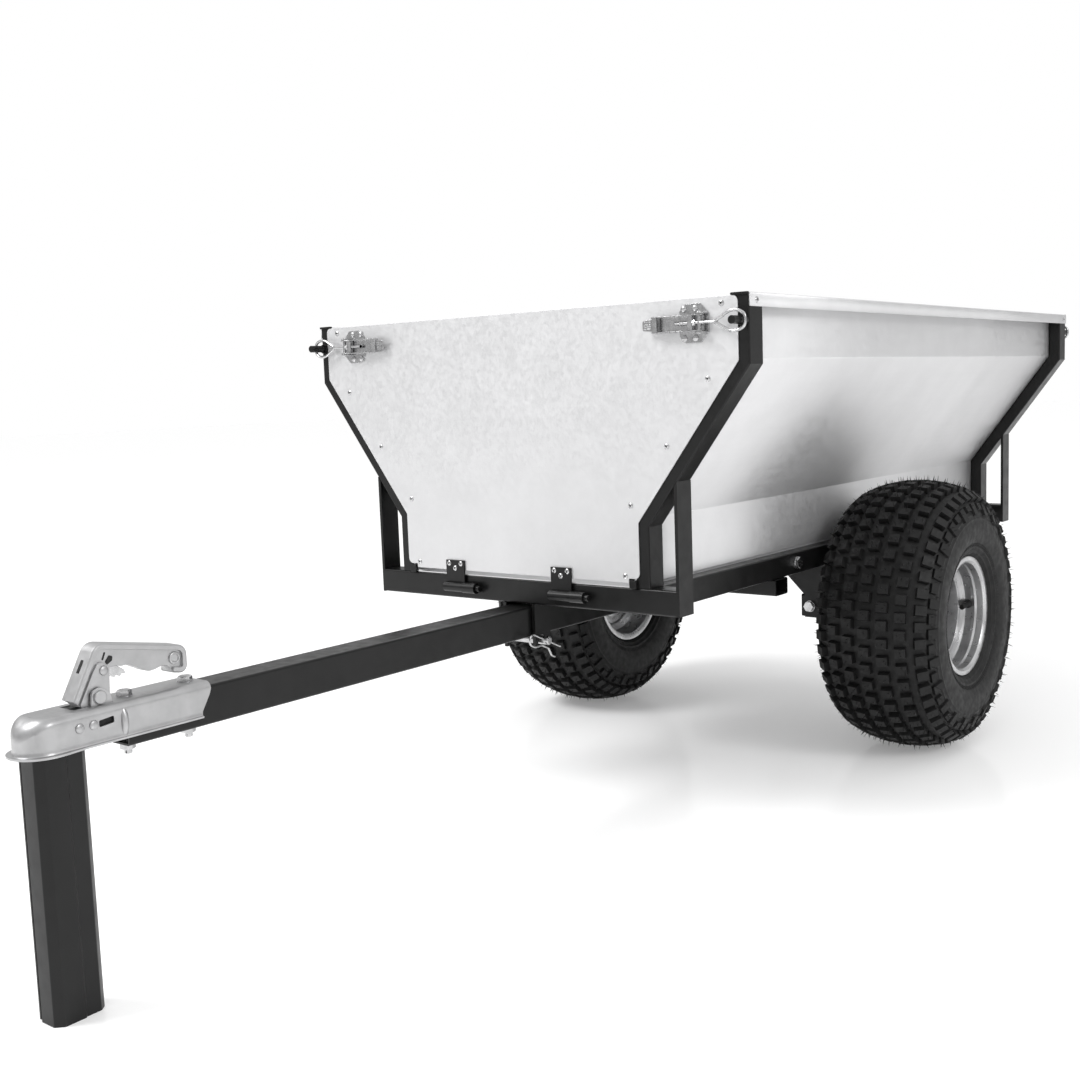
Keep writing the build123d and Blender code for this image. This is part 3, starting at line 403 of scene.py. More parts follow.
# ---- tub ---------------------------------------------------------------------------------
SHEET = 1.5
ARM_WIDTH = 25.0
LOWER_BEND_Z = 491.0
UPPER_BEND_Z = 728.5
SHEET_END = 0.5
CAP_LOW = (409.0, 825.9)
CAP_OUTER = 437.0
STOP_INNER, STOP_OUTER = 224.0, 237.0
STOP_LOW, STOP_HIGH = 395.0, 408.0
FLOOR_RIVETS = 6
BLIND_HEAD = (4.6, 1.8)
LEAN = atan2(UPPER_HALF - LOWER_HALF, UPPER_BEND_Z - LOWER_BEND_Z)


def side_line(inset, z_low, z_high):
    """The left side's outline from bottom to top, moved inwards by the inset."""
    rise = inset * tan(LEAN / 2)
    lower, upper = LOWER_HALF - inset, UPPER_HALF - inset
    return [(lower, z_low), (lower, LOWER_BEND_Z + rise), (upper, UPPER_BEND_Z + rise), (upper, z_high)]


def side_sheet(side):
    """Folded side: floor flange, three planes, and a lip over the frames."""
    middle = SHEET / 2
    wall = side_line(ARM_WIDTH + middle, FLOOR_TOP + middle, TUB_TOP - middle)
    flange = (wall[0][0] - 20, wall[0][1])
    lip_x = UPPER_HALF + middle
    path = [flange] + wall + [(lip_x, TUB_TOP - middle), (lip_x, TUB_TOP - 20)]
    line = rounded(path, [0, 2.5, 6, 6, 2, 2.2, 0], closed=False)
    shape = Shape()
    stations = [SHEET_END, TUB_LENGTH * 0.33, TUB_LENGTH * 0.67, TUB_LENGTH - SHEET_END]
    shape.loft([[(side * x, y, z) for x, z in line] for y in stations], round_ring=False, caps=False)
    name = "left_side_sheet" if side > 0 else "right_side_sheet"
    build(name + "_formed", shape, LOOKS[GALV], "tub", [name], wall=SHEET, smooth=24)


def arm_caps():
    """Plate on each frame arm, with a small tab in front of the gate's top corner."""
    inner, low = CAP_LOW
    high = TUB_TOP + 0.3
    corners = [(inner, low), (CAP_OUTER, low), (CAP_OUTER, high), (inner, high)]
    cap = Shape().prism(rounded(corners, [1.2, 0, 0.8, 1.6], 3), -3.2, 0.45)
    build("frame_arm_caps", at_corners(cap), LOOKS[BLACK], "tub")


def corner_stops():
    """Blocks that stand in the notches of the gates' lower corners."""
    corners = [(STOP_INNER, STOP_LOW), (STOP_OUTER, STOP_LOW),
               (STOP_OUTER, STOP_HIGH), (STOP_INNER, STOP_HIGH)]
    stop = Shape().prism(rounded(corners, 2.5, 3), -5, 1)
    build("corner_stops", at_corners(stop), LOOKS[BLACK], "tub", bevel=0.8)


def rivet_head(radius, rise, hollow):
    """Profile of a rivet head along its axis; a blind rivet has a hole in its middle."""
    dome = [(0, radius), (rise * 0.35, radius * 0.96), (rise * 0.75, radius * 0.75), (rise, radius * 0.45)]
    if hollow:
        return dome + [(rise, radius * 0.32), (rise * 0.3, radius * 0.28), (rise * 0.3, radius * 0.05)]
    return dome + [(rise * 1.08, radius * 0.1)]


def tub_blind_rivets():
    """Blind rivets through the side sheets' lips, and through the floor and the flanges."""
    shape = Shape()
    for y in (20, TUB_LENGTH - 20):
        for side in (1, -1):
            profile = [(side * a, r) for a, r in rivet_head(*BLIND_HEAD, True)]
            shape.lathe(profile, (side * (UPPER_HALF + SHEET), y, TUB_TOP - 11), "x", 20)
    floor_half = box_mm("floor_sheet")[1].x
    pitch = (TUB_LENGTH - 80) / FLOOR_RIVETS
    for i in range(FLOOR_RIVETS):
        for side in (1, -1):
            centre = (side * (floor_half - 8), 40 + pitch * (i + 0.5), FLOOR_TOP + SHEET)
            shape.lathe(rivet_head(*BLIND_HEAD, True), centre, "z", 20)
    build("tub_blind_rivets", shape, LOOKS[ZINC], "tub", ["tub_rivets"])


# ---- gates -------------------------------------------------------------------------------
GATE_INSET = 17.0
GATE_LOW, GATE_HIGH = box_mm("front_gate_panel")
LEAF_LOW, LEAF_HIGH = box_mm("front_gate_hinges")
RIVET_Z = (816.0, 710.0, 613.0, 523.0, 414.0)
RIVET_INSET = 43.0
NOTCH_WIDTH, NOTCH_HEIGHT = 20.0, 6.5
LEAF_WIDTH = 40.0
LEAF_FACE = GATE_LOW.y - 3.0
HINGE_LEAF_X = (LEAF_LOW.x, LEAF_HIGH.x - LEAF_WIDTH)
LATCH = joint_mm("front_left_lever_swing")
LATCH_RIVETS = [(side * (LATCH.x + dx), LATCH.z + dz)
                for side in (1, -1) for dx in (-31, -12) for dz in (-21, 21)]


def inset_at(inset, z):
    """How far across the side's inset outline is at a height."""
    bend, top = side_line(inset, 0, 0)[1:3]
    if z <= bend[1]:
        return bend[0]
    if z >= top[1]:
        return top[0]
    return bend[0] + (top[0] - bend[0]) * (z - bend[1]) / (top[1] - bend[1])


def gate_panel(end, place):
    """Flat sheet with rounded top corners and a notch at each lower corner."""
    left = side_line(GATE_INSET, GATE_LOW.z, GATE_HIGH.z)
    foot_x = left[0][0]
    notch_x, notch_z = foot_x - NOTCH_WIDTH, GATE_LOW.z + NOTCH_HEIGHT
    notch = [(notch_x, GATE_LOW.z), (notch_x, notch_z), (foot_x, notch_z)]
    outline = notch + left[1:]
    radii = [1.5, 1.5, 9, 4, 4, 9]
    outline = outline + [(-x, z) for x, z in outline[::-1]]
    shape = Shape().prism(rounded(outline, radii + radii[::-1]), GATE_LOW.y, GATE_HIGH.y)
    name = f"{end}_gate_panel"
    build(name + "_cut", shape.moved(place), LOOKS[GALV], f"{end}_gate", [name], bevel=0.45)


def hinge_rivets_at(leaf_x):
    middle = leaf_x + LEAF_WIDTH / 2
    return [(middle - 13, 415.5), (middle + 13, 415.5), (middle, 407.5)]


def gate_rivets(end, place):
    """Blind rivets with dark plugs of painted shade in their holes, and the latch plates' closed rivets."""
    face = GATE_LOW.y
    shape, painted_shade_cores = Shape(), Shape()
    spots = [(side * inset_at(RIVET_INSET, z), z, face) for z in RIVET_Z for side in (1, -1)]
    spots += [(x, z, LEAF_FACE) for leaf_x in HINGE_LEAF_X for x, z in hinge_rivets_at(leaf_x)]
    for x, z, y in spots:
        shape.lathe([(-a, r) for a, r in rivet_head(4.5, 1.7, True)], (x, y, z), "y", 20)
        # Painted shade: a dark plug sits in each rivet's hole where the hollow falls into shade.
        painted_shade_cores.lathe([(-0.55, 1.7), (-1.1, 1.4), (-1.25, 0.4)], (x, y, z), "y", 12)
    for x, z in LATCH_RIVETS:
        shape.lathe([(-a, r) for a, r in rivet_head(5.2, 2.6, False)], (x, face - 2, z), "y", 20)
    name = f"{end}_gate_rivets"
    build(name + "_domed", shape.moved(place), LOOKS[ZINC], f"{end}_gate", [name])
    build(f"{end}_gate_rivet_painted_shade", painted_shade_cores.moved(place), PAINTED_SHADE, f"{end}_gate")


# ---- latches -----------------------------------------------------------------------------
LOOP = joint_mm("front_left_loop_swing")
LEVER_LOW, LEVER_HIGH = box_mm("front_left_latch_lever")
LEVER_HALF = (LEVER_HIGH.z - LEVER_LOW.z) / 2
LOOP_LOW, LOOP_HIGH = box_mm("front_left_latch_loop")
ROD = 2.5
EAR_IN = LEVER_HALF + 0.3


def latch_base():
    """Trapezoid plate with two ears round the lever's pivot."""
    front, back = GATE_LOW.y - 2, GATE_LOW.y
    x, z = LATCH.x, LATCH.z
    outline = [(x - 39, z - 18), (x - 29, z - 28), (x - 3, z - 28), (x + 10, z - 14)]
    outline += [(x + 10, z + 14), (x - 3, z + 28), (x - 29, z + 28), (x - 39, z + 18)]
    shape = Shape().prism(rounded(outline, 4), front, back)
    for side in (1, -1):
        ear = [(x - 9, front + 0.5), (x - 7, LATCH.y), (x, LATCH.y - 7), (x + 7, LATCH.y),
               (x + 9, front + 0.5)]
        low, high = sorted((z + side * EAR_IN, z + side * (EAR_IN + 2)))
        shape.prism(rounded(ear, [0, 5, 6, 5, 0]), low, high, "z")
        head = [(side * a, r) for a, r in rivet_head(4.2, 2.2, False)]
        shape.lathe(head, (x, LATCH.y, z + side * (EAR_IN + 2)), "z", 20)
    return shape


def lever():
    """Finger tab with ribs, a raised hump, then a channel open to the front."""
    x, y, z = LATCH
    tip = LEVER_LOW.x
    tall = LEVER_HALF
    shape = Shape()
    tab = rounded([(tip, z - tall * 0.62), (tip + 18, z - tall * 0.75), (tip + 18, z + tall * 0.75),
                   (tip, z + tall * 0.62)], [3.5, 0, 0, 3.5])
    shape.prism(tab, y - 1.2, y + 0.8)
    for k in range(4):
        shape.block(tip + 3, tip + 15, y - 2.1, y - 1, z - 5.4 + 3.2 * k, z - 4.2 + 3.2 * k)
    hump = rounded([(tip + 16, y + 4), (tip + 17.5, y - 5.5), (tip + 26, y - 6), (tip + 29, y + 4)],
                   [1, 3, 3, 1])
    shape.prism(hump, z - tall, z + tall, "z")
    start = tip + 26
    shape.block(start, x - 5, y + 4.8, y + 6.6, z - tall + 0.3, z + tall - 0.3)
    for side in (1, -1):
        flange = [(start, y + 6.6), (start, y - 5.5), (x - 26, y - 6), (x - 16, y - 3.5)]
        flange += [(x - 4, y - 6.4), (x + 5.5, y - 4), (x + 6.6, y + 1), (x + 3, y + 6.4)]
        low, high = sorted((z + side * tall, z + side * (tall - 1.6)))
        shape.prism(rounded(flange, [1, 3, 3, 4, 3, 4, 4, 3]), low, high, "z")
    shape.lathe([(-tall + 1.7, 2.8), (tall - 1.7, 2.8)], (x, y, z), "z", 16)
    return shape


def loop():
    """Swivel bar, threaded shank with its nut, and a bent eye round the keeper."""
    x, y, z = LOOP
    outer = LOOP_HIGH.x - ROD
    half = (LOOP_HIGH.z - LOOP_LOW.z) / 2 - ROD
    bar = LEVER_HALF - 2
    thread = x - 26
    shape = Shape()
    square = [(x - 4.2, y - 4.2), (x + 4.2, y - 4.2), (x + 4.2, y + 4.2), (x - 4.2, y + 4.2)]
    shape.prism(rounded(square, 1.5), z - bar, z + bar, "z")
    shape.lathe([(-bar - 2, 2.4), (bar + 2, 2.4)], (x, y, z), "z", 16)
    shape.wire([(thread, y, z), (x + 4, y, z), (outer - 47, y, z)], ROD, 14)
    for k in range(15):
        shape.lathe([(0, ROD), (0.5, ROD + 0.35), (1.0, ROD)], (thread + 1.4 * k, y, z), "x", 14)
    shape.lathe([(0, 4.6), (4, 4.6)], (x + 4.4, y, z), "x", 6)
    above = [(outer - 37, half * 0.5), (outer - 24, half * 0.98),
             (outer - 11, half), (outer - 2, half * 0.62)]
    below = [(a, -b) for a, b in above[::-1]]
    line = curve([(outer - 47, 0)] + above + [(outer, 0)] + below, 5, True)
    shape.wire([(a, y, z + b) for a, b in line], ROD, 14, joined=True)
    return shape


def latches():
    """Base plates on each gate, with a lever and an eyebolt on either side."""
    shapes = {"base": latch_base(), "lever": lever(), "loop": loop()}
    across = {"left": "right", "right": "left"}
    for end, place in (("front", HERE), ("rear", TO_REAR)):
        bases = Shape()
        for side, mirror in (("left", HERE), ("right", MIRROR)):
            spot = place @ mirror
            bases.join(shapes["base"].moved(spot))
            stem = f"{end}_{side if end == 'front' else across[side]}"
            build(f"{stem}_lever_formed", shapes["lever"].moved(spot), LOOKS[ZINC], f"{stem}_lever",
                  [f"{stem}_latch_lever"], bevel=0.35)
            build(f"{stem}_eyebolt", shapes["loop"].moved(spot), LOOKS[ZINC], f"{stem}_loop",
                  [f"{stem}_latch_loop"])
        build(f"{end}_latch_plates", bases, LOOKS[ZINC], f"{end}_gate",
              [f"{end}_latch_bases"], bevel=0.35)


# ---- wheels ------------------------------------------------------------------------------
WHEEL = joint_mm("left_wheel_spin")
TYRE_R = (box_mm("left_tyre")[1].z - box_mm("left_tyre")[0].z) / 2
KNOB_HEIGHT = 11.0
ROWS = 48
STEP = 2 * pi / ROWS
COLUMN_PITCH, COLUMN_WIDTH = 31.0, 21.0
TREAD_COLUMNS = (0.0, COLUMN_PITCH, -COLUMN_PITCH, 2 * COLUMN_PITCH, -2 * COLUMN_PITCH)
SIDEWALL_RINGS = ((192, 2.2, 1.3), (183, 1.6, 0.8), (127, 3.0, 2.2), (119, 2.0, 1.2))
HAIR_REACH = (5, 12)
BEAD_TEETH = 150
CARCASS = curve([(0, TYRE_R - 11), (30, TYRE_R - 13.3), (60, TYRE_R - 20), (85, TYRE_R - 30),
                 (102, TYRE_R - 48), (111, TYRE_R - 74), (111, TYRE_R - 104), (101.5, TYRE_R - 130),
                 (91.5, TYRE_R - 141)], 24)


def carcass_lengths():
    """Length along the profile from the crown to each of its points."""
    total, made = 0.0, [0.0]
    for a, b in zip(CARCASS, CARCASS[1:]):
        total += (Vector(b) - Vector(a)).length
        made.append(total)
    return made


LENGTHS = carcass_lengths()


def on_carcass(s, out):
    """Point on the outer skin: s along the profile from the crown, out above it."""
    side = -1 if s < 0 else 1
    s = min(abs(s), LENGTHS[-1] - 0.01)
    i = max(k for k in range(len(LENGTHS)) if LENGTHS[k] <= s)
    i = min(i, len(CARCASS) - 2)
    a, b = Vector(CARCASS[i]), Vector(CARCASS[i + 1])
    share = (s - LENGTHS[i]) / (LENGTHS[i + 1] - LENGTHS[i])
    along = (b - a).normalized()
    p = a + (b - a) * share + Vector((-along.y, along.x)) * out
    return side * p.x, p.y


def about_axle(side, along, radius, turn):
    """Point in the wheel's own terms: along the axle outwards, radius, and angle."""
    return Vector((side * (WHEEL.x + along), WHEEL.y + radius * cos(turn), WHEEL.z + radius * sin(turn)))


def ring_about_axle(side, along, radius, steps):
    return [about_axle(side, along, radius, 2 * pi * i / steps) for i in range(steps)]


def lug(shape, side, s0, s1, turn, width, height, taper=1.6):
    """Tread block between two places on the profile, standing on the carcass."""
    points = []
    for out, pinch in ((-2.0, 0.0), (height, taper)):
        for s in (s0 + pinch, s1 - pinch):
            along, radius = on_carcass(s, out)
            half = (width / 2 - pinch) / radius
            points += [about_axle(side, along, radius, turn + way * half) for way in (-1, 1)]
    shape.add(points, [[0, 1, 3, 2], [4, 6, 7, 5], [0, 4, 5, 1], [1, 5, 7, 3], [3, 7, 6, 2], [2, 6, 4, 0]])


def whisker(shape, side, s, turn, height, reach, lean):
    """Thin moulding hair on the rubber."""
    along, radius = on_carcass(s, height - 0.5)
    tip_along, tip_radius = on_carcass(s + lean * 2, height + reach)
    foot = about_axle(side, along, radius, turn)
    tip = about_axle(side, tip_along, tip_radius, turn + lean * 0.012)
    if tip.z < 1.5:
        return
    across = (tip - foot).orthogonal().normalized() * 0.9
    other = (tip - foot).normalized().cross(across)
    ring = [foot + across, foot - across * 0.5 + other * 0.65, foot - across * 0.5 - other * 0.65]
    shape.add(ring + [tip], [[0, 1, 2], [0, 3, 1], [1, 3, 2], [2, 3, 0]])


def tyre_skin(shape, side):
    """Closed skin: the outer profile with its sidewall rings, and the hollow inside."""
    end = LENGTHS[-1]
    stations = [end * k / 90 for k in range(91)]
    profile = []
    for s in [-v for v in stations[::-1]] + stations[1:]:
        radius = on_carcass(s, 0)[1]
        ridge = sum(tall * max(0.0, 1 - abs(radius - at) / wide) ** 0.7 for at, wide, tall in SIDEWALL_RINGS)
        profile.append(on_carcass(s, ridge))
    inner = [(91, 101), (78, 101), (98, 140), (102, 172), (88, 216), (50, 231), (0, TYRE_R - 17)]
    profile += inner + [(-a, r) for a, r in inner[-2::-1]]
    shape.loft([ring_about_axle(side, a, r, 144) for a, r in profile], joined=True)


def crown_lugs(shape, side, row, chance):
    """One row of tread blocks across the crown, with hairs on them."""
    for middle in TREAD_COLUMNS:
        turn = STEP * (row + 0.5 * (round(abs(middle) / COLUMN_PITCH) % 2))
        lug(shape, side, middle - COLUMN_WIDTH / 2, middle + COLUMN_WIDTH / 2, turn, 20, KNOB_HEIGHT)
        for _ in range(3):
            spot = middle + chance.uniform(-9, 9)
            whisker(shape, side, spot, turn + chance.uniform(-0.03, 0.03), KNOB_HEIGHT,
                    chance.uniform(*HAIR_REACH), chance.uniform(-1, 1))


def shoulder_lugs(shape, side, row, chance):
    """Shoulder blocks and the lower blocks on the sidewalls, longer on every other row."""
    for flank in (1, -1):
        turn = STEP * (row + 0.5)
        lug(shape, side, *sorted((flank * 84, flank * 104)), turn, 20, KNOB_HEIGHT)
        long = 132 if row % 2 else 122
        lug(shape, side, *sorted((flank * 108, flank * long)), turn + STEP / 2, 19, 5.5, 1.2)
        for spot in (86, 92, 98, 104, 114, 120):
            whisker(shape, side, flank * spot, turn + chance.uniform(-0.05, 0.05), 6,
                    chance.uniform(*HAIR_REACH), chance.uniform(-1, 1))


def tyre(side):
    """Knobbly low-pressure tyre: skin, tread blocks, moulding hairs and fine teeth by the bead."""
    chance = random.Random(20 + side)
    shape = Shape()
    tyre_skin(shape, side)
    for row in range(ROWS):
        crown_lugs(shape, side, row, chance)
        shoulder_lugs(shape, side, row, chance)
    near = LENGTHS[-1] - 30
    for flank in (1, -1):
        for i in range(BEAD_TEETH):
            turn = 2 * pi * i / BEAD_TEETH
            lug(shape, side, *sorted((flank * near, flank * (near + 8))), turn, 2.4, 0.7, 0.3)
    name = "left" if side > 0 else "right"
    build(f"{name}_knobbly_tyre", shape, LOOKS[TYRE], f"{name}_wheel", [f"{name}_tyre"], smooth=28)


def rim(side):
    """Pressed rim: rolled flange, bead seats, stepped barrel and a disc far inboard."""
    face = [(90, 103.5), (91.5, 112.2), (94.2, 112.2), (94, 104), (90, 99.4), (78, 98.4), (74, 96.4),
            (68, 98.2), (56, 97.6), (50, 94), (47, 84), (20, 82.5), (17, 81), (-20, 81), (-37, 80)]
    back = [(-42, 80), (-47, 84), (-50, 94), (-56, 97.6), (-90, 99.4), (-94, 104), (-94.2, 112.2),
            (-91.5, 112.2), (-90, 103.5), (-56, 101), (-47, 87), (47, 87), (56, 101), (74, 100.8)]
    disc = [(-38, 80.5), (-34, 74), (-36, 66), (-38, 58), (-38, 30.5),
            (-42, 30.5), (-42, 60), (-40, 70), (-42, 80.5)]
    barrel = rounded(face, 1.6, 3, closed=False) + back
    shape = Shape()
    shape.loft([ring_about_axle(side, a, r, 128) for a, r in barrel], joined=True)
    shape.loft([ring_about_axle(side, a, r, 96) for a, r in disc], joined=True)
    name = "left" if side > 0 else "right"
    build(f"{name}_pressed_rim", shape, LOOKS[RIM], f"{name}_wheel", [f"{name}_rim"], smooth=40)


def valve(side):
    """Rubber stem and cap, from the barrel in towards the axle."""
    shape = Shape()
    rings = []
    profile = [(0, 8.5), (3, 8.2), (6, 6.2), (12, 5.2), (22, 4.6), (23, 5.2), (33, 5.2), (34.5, 4.2)]
    for depth, radius in profile:
        centre = about_axle(side, 61, 98 - depth, 0.06)
        rings.append([centre + Vector((radius * cos(t), 0, radius * sin(t)))
                      for t in (2 * pi * k / 24 for k in range(24))])
    shape.loft(rings)
    name = "left" if side > 0 else "right"
    build(f"{name}_valve_stem", shape, LOOKS[TYRE], f"{name}_wheel", smooth=40)


# ---- coupling ----------------------------------------------------------------------------
BALL_Y = joint_mm("stand_swivel").y
SHELL_HALF = 30.0
SHELL_REAR = -647.0
DRAWBAR_LOW, DRAWBAR_HIGH = box_mm("drawbar")
SHELL_TOP = DRAWBAR_HIGH.z + 5.0
SHELL_FOOT = 315.0
SHELL_WALL = 2.4
HANDLE_AXIS = joint_mm("handle_lift")
EAR_OUTER = 17.6
HANDLE_HALF = 9.2
LINK_OUTER = 12.4
SIDE_RIVET_Y = (-831, -813)
SIDE_RIVET_Z = 340
COUPLING_BOLT_Y = (-750, -662)
SHELL_LEVELS = [("flange", 8.0, SHELL_FOOT + 1.2), ("wall", 1.5, SHELL_FOOT + 1.6),
                ("wall", 0.3, SHELL_FOOT + 3.5), ("wall", 0.0, SHELL_FOOT + 8), ("shoulder", 0.0, 0.0)]
DOME_TURNS = [pi / 2 * k / 8 for k in range(9)]


def shell_plan(out):
    """Half plan of the shell from the rear to the nose's tip, moved outwards."""
    steps = 16
    straight = [SHELL_REAR + (BALL_Y - SHELL_REAR) * k / 22 for k in range(22)]
    made = [(SHELL_HALF + out, y, 0.0) for y in straight]
    for k in range(steps + 1):
        t = pi / 2 * k / steps
        made.append(((SHELL_HALF + out) * cos(t), BALL_Y - (SHELL_HALF + out) * sin(t), k / steps))
    return made


def shell_offset(level, y, nose):
    """How far outwards and how high a point on one level is; nose runs from 0 to 1 round the front."""
    kind, out, value = level
    ease = nose * nose * (3 - 2 * nose)
    flat = 8.0 + 15.0 * ease
    tall = 8.0 + 17.0 * ease
    if kind == "dome":
        return -flat * (1 - cos(value)), SHELL_TOP - tall * (1 - sin(value))
    if kind == "shoulder":
        return out, SHELL_TOP - max(tall, 14)
    if kind == "flange":
        return 4.0 + 4.0 * max(nose, min(1.0, max(0.0, (-825 - y) / 30))), value
    return out, value


def shell_ring(level):
    """One level of the pressing from side to side, its rear end slanting with the height."""
    half = []
    for (x, y, nose), (bx, by, _) in zip(shell_plan(0), shell_plan(1)):
        push, height = shell_offset(level, y, nose)
        direction = Vector((bx - x, by - y))
        share = min(1.0, max(0.0, (SHELL_TOP - 6 - height) / 32))
        back = 15 * share * share * (3 - 2 * share)
        slide = back * max(0.0, 1 - (SHELL_REAR - y) / 60)
        half.append(Vector((x + direction.x * push, y + direction.y * push - slide, height)))
    return half + [Vector((-p.x, p.y, p.z)) for p in half[-2::-1]]


def shell_skin():
    """Walls and dome as one skin, closed over the top."""
    rings = [shell_ring(level) for level in SHELL_LEVELS]
    rings += [shell_ring(("dome", 0.0, turn)) for turn in DOME_TURNS]
    shape = Shape().loft(rings, round_ring=False, caps=False)
    top = rings[-1]
    count = len(top)
    for i in range(count // 2):
        strip = [top[i], top[i + 1], top[count - 2 - i], top[count - 1 - i]]
        shape.add(strip, [[0, 1, 2, 3]] if i < count // 2 - 1 else [[0, 1, 3]])
    return shape


def shell_cuts():
    """A slot in each side, and an opening in the top under the handle."""
    cuts = Shape()
    slot = rounded([(-806, 335.5), (-786, 337.5), (-786, 345.5), (-806, 343.5)], 1.8)
    for side in (1, -1):
        cuts.prism(slot, side * 20, side * 45, "x")
    return cuts.block(-14, 14, -827, -776, SHELL_TOP - 12, SHELL_TOP + 6)


def coupling_ears():
    """Ribs on the sides, the handle's ears and pin, and the side rivets."""
    shape = Shape()
    rib = [(SHELL_FOOT + 5, -1.5), (SHELL_FOOT + 15, 2), (SHELL_TOP - 16, 2), (SHELL_TOP - 8, -2)]
    ear = [(-806, SHELL_TOP - 2), (-804, 375), (-792, 379), (-780, 371), (-776, SHELL_TOP - 2)]
    rivet = ((-1, 6.8), (0.6, 6.8), (0.9, 5.9), (2.6, 5.5), (3.4, 4.2), (3.6, 0.5))
    pin = ((0, 8.2), (2.2, 8.2), (3.2, 7.2), (3.4, 0.5))
    for side in (1, -1):
        shape.wire([(side * (SHELL_HALF - 1 + bend), -772, z) for z, bend in rib], 4.6, 16)
        low, high = sorted((side * 14.2, side * EAR_OUTER))
        shape.prism(rounded(ear, [0, 7, 7, 9, 0]), low, high, "x")
        for y in SIDE_RIVET_Y:
            head = [(side * a, r) for a, r in rivet]
            shape.lathe(head, (side * SHELL_HALF, y, SIDE_RIVET_Z), "x", 24)
        head = [(side * a, r) for a, r in pin]
        shape.lathe(head, (side * EAR_OUTER, HANDLE_AXIS.y, HANDLE_AXIS.z), "x", 28)
    build("coupling_ears_and_rivets", shape, LOOKS[CAST], "chassis",
          ["coupling_rivets", "handle_pin"], bevel=0.4)


def slot_painted_shade():
    """Painted shade: dark plates behind the shell's side slots, where the inside of the shell falls into shade."""
    shape = Shape()
    outline = rounded([(-809, 333), (-783, 333), (-783, 348), (-809, 348)], 2)
    for side in (1, -1):
        low, high = sorted((side * 25.3, side * 26.6))
        shape.prism(outline, low, high, "x")
    build("coupling_slot_painted_shade", shape, PAINTED_SHADE, "chassis")


def coupling_shell():
    """Pressing with a domed nose, a flange all round and a slanting rear edge."""
    piece = build("coupling_pressing", shell_skin(), LOOKS[CAST], "chassis", ["coupling_shell"],
                  wall=SHELL_WALL, cuts=shell_cuts(), smooth=40)
    weld_seams(piece)


def weld_seams(piece):
    """Merge points that lie on each other, so that the skin shades as one surface."""
    work = bmesh.new()
    work.from_mesh(piece.data)
    bmesh.ops.remove_doubles(work, verts=work.verts, dist=0.00002)
    bmesh.ops.recalc_face_normals(work, faces=work.faces)
    work.to_mesh(piece.data)
    work.free()
    piece.data.shade_smooth()
    piece.data.set_sharp_from_angle(angle=radians(40))


def handle_band(line, half_width):
    """Rolled rim along the handle's back, square to the line at each point."""
    section = [(-half_width, -0.4), (-half_width + 1.6, 1.3), (half_width - 1.6, 1.3), (half_width, -0.4),
               (half_width, -5.6), (-half_width, -5.6)]
    rings = []
    for i, (y, z) in enumerate(line):
        before = Vector(line[max(i - 1, 0)])
        after = Vector(line[min(i + 1, len(line) - 1)])
        along = (after - before).normalized()
        out = Vector((-along.y, along.x))
        rings.append([(x, y + out.x * rise, z + out.y * rise) for x, rise in section])
    return Shape().loft(rings)


def handle_side(side):
    """Link plate at the pivot, a round boss at the grip's end and the link's rivet."""
    link = [(-817, 360), (-797, 396), (-788, 408), (-775, 400), (-777, 360), (-785, 357), (-812, 357)]
    boss = ((-2, 8), (1.6, 8), (2.2, 7), (2.2, 5.2), (0.6, 4.6))
    rivet = ((0, 6), (1.4, 5.6), (2.4, 4), (2.6, 0.5))
    low, high = sorted((side * 9, side * LINK_OUTER))
    shape = Shape().prism(rounded(link, [3, 6, 6, 5, 5, 6, 3]), low, high, "x")
    shape.lathe([(side * a, r) for a, r in boss], (side * 9.4, -682.5, 392), "x", 28)
    return shape.lathe([(side * a, r) for a, r in rivet], (side * LINK_OUTER, -783, 396), "x", 24)


def coupling_handle():
    """Finger-grip handle: rolled rim round a pressed side, over a flat link at the pivot."""
    back = rounded([(-824, 366), (-790.5, 428.5), (-667, 405), (-667, 372), (-687, 376)], [3, 15, 13, 9, 0],
                   5, closed=False)
    grip = [(-688, 379), (-694, 384.5), (-703, 385), (-712, 383), (-721, 383), (-729, 387), (-737, 391),
            (-747, 396), (-757, 396), (-764, 398)]
    foot = rounded([(-766, 398), (-776, 397), (-778, 360), (-784, 357), (-812, 357)], [0, 5, 5, 4, 0],
                   4, closed=False)
    shape = Shape().prism(back + curve(grip, 4) + foot, -HANDLE_HALF, HANDLE_HALF, "x")
    shape.join(handle_band(back, 13.2))
    for side in (1, -1):
        shape.join(handle_side(side))
    build("handle_pressing", shape, LOOKS[CAST], "coupling_lever", ["coupling_handle"], bevel=0.5)


def handle_slots_painted_shade():
    """Painted shade: thin dark plates on the handle's sides, and one across its front, where pressed slots would
    lie in shade.
    """
    shape = Shape()
    outlines = ([(-779, 405), (-773, 412), (-768, 410), (-769, 405), (-776, 401)],
                [(-783, 408), (-779, 417), (-777, 416), (-781, 407)])
    for side in (1, -1):
        for outline in outlines:
            low, high = sorted((side * 9.0, side * 9.5))
            shape.prism(rounded(outline, 1.5, 3), low, high, "x")
    shape.prism([(-809.9, 396.7), (-802.1, 410.7), (-799.5, 409.2), (-807.3, 395.2)], -2.2, 2.2, "x")
    build("handle_slots_painted_shade", shape, PAINTED_SHADE, "coupling_lever")


def safety_catch():
    """Small toothed catch below the handle's corner."""
    outline = [(-786, 404), (-774, 405), (-766, 400), (-753, 391), (-751, 386), (-757, 387),
               (-759, 384), (-764, 387), (-767, 384), (-773, 390), (-788, 396)]
    shape = Shape().prism(rounded(outline, 1.0, 2), -8.5, 8.5, "x")
    build("catch_blade", shape, LOOKS[ZINC], "safety_catch", ["handle_trigger"], bevel=0.5)


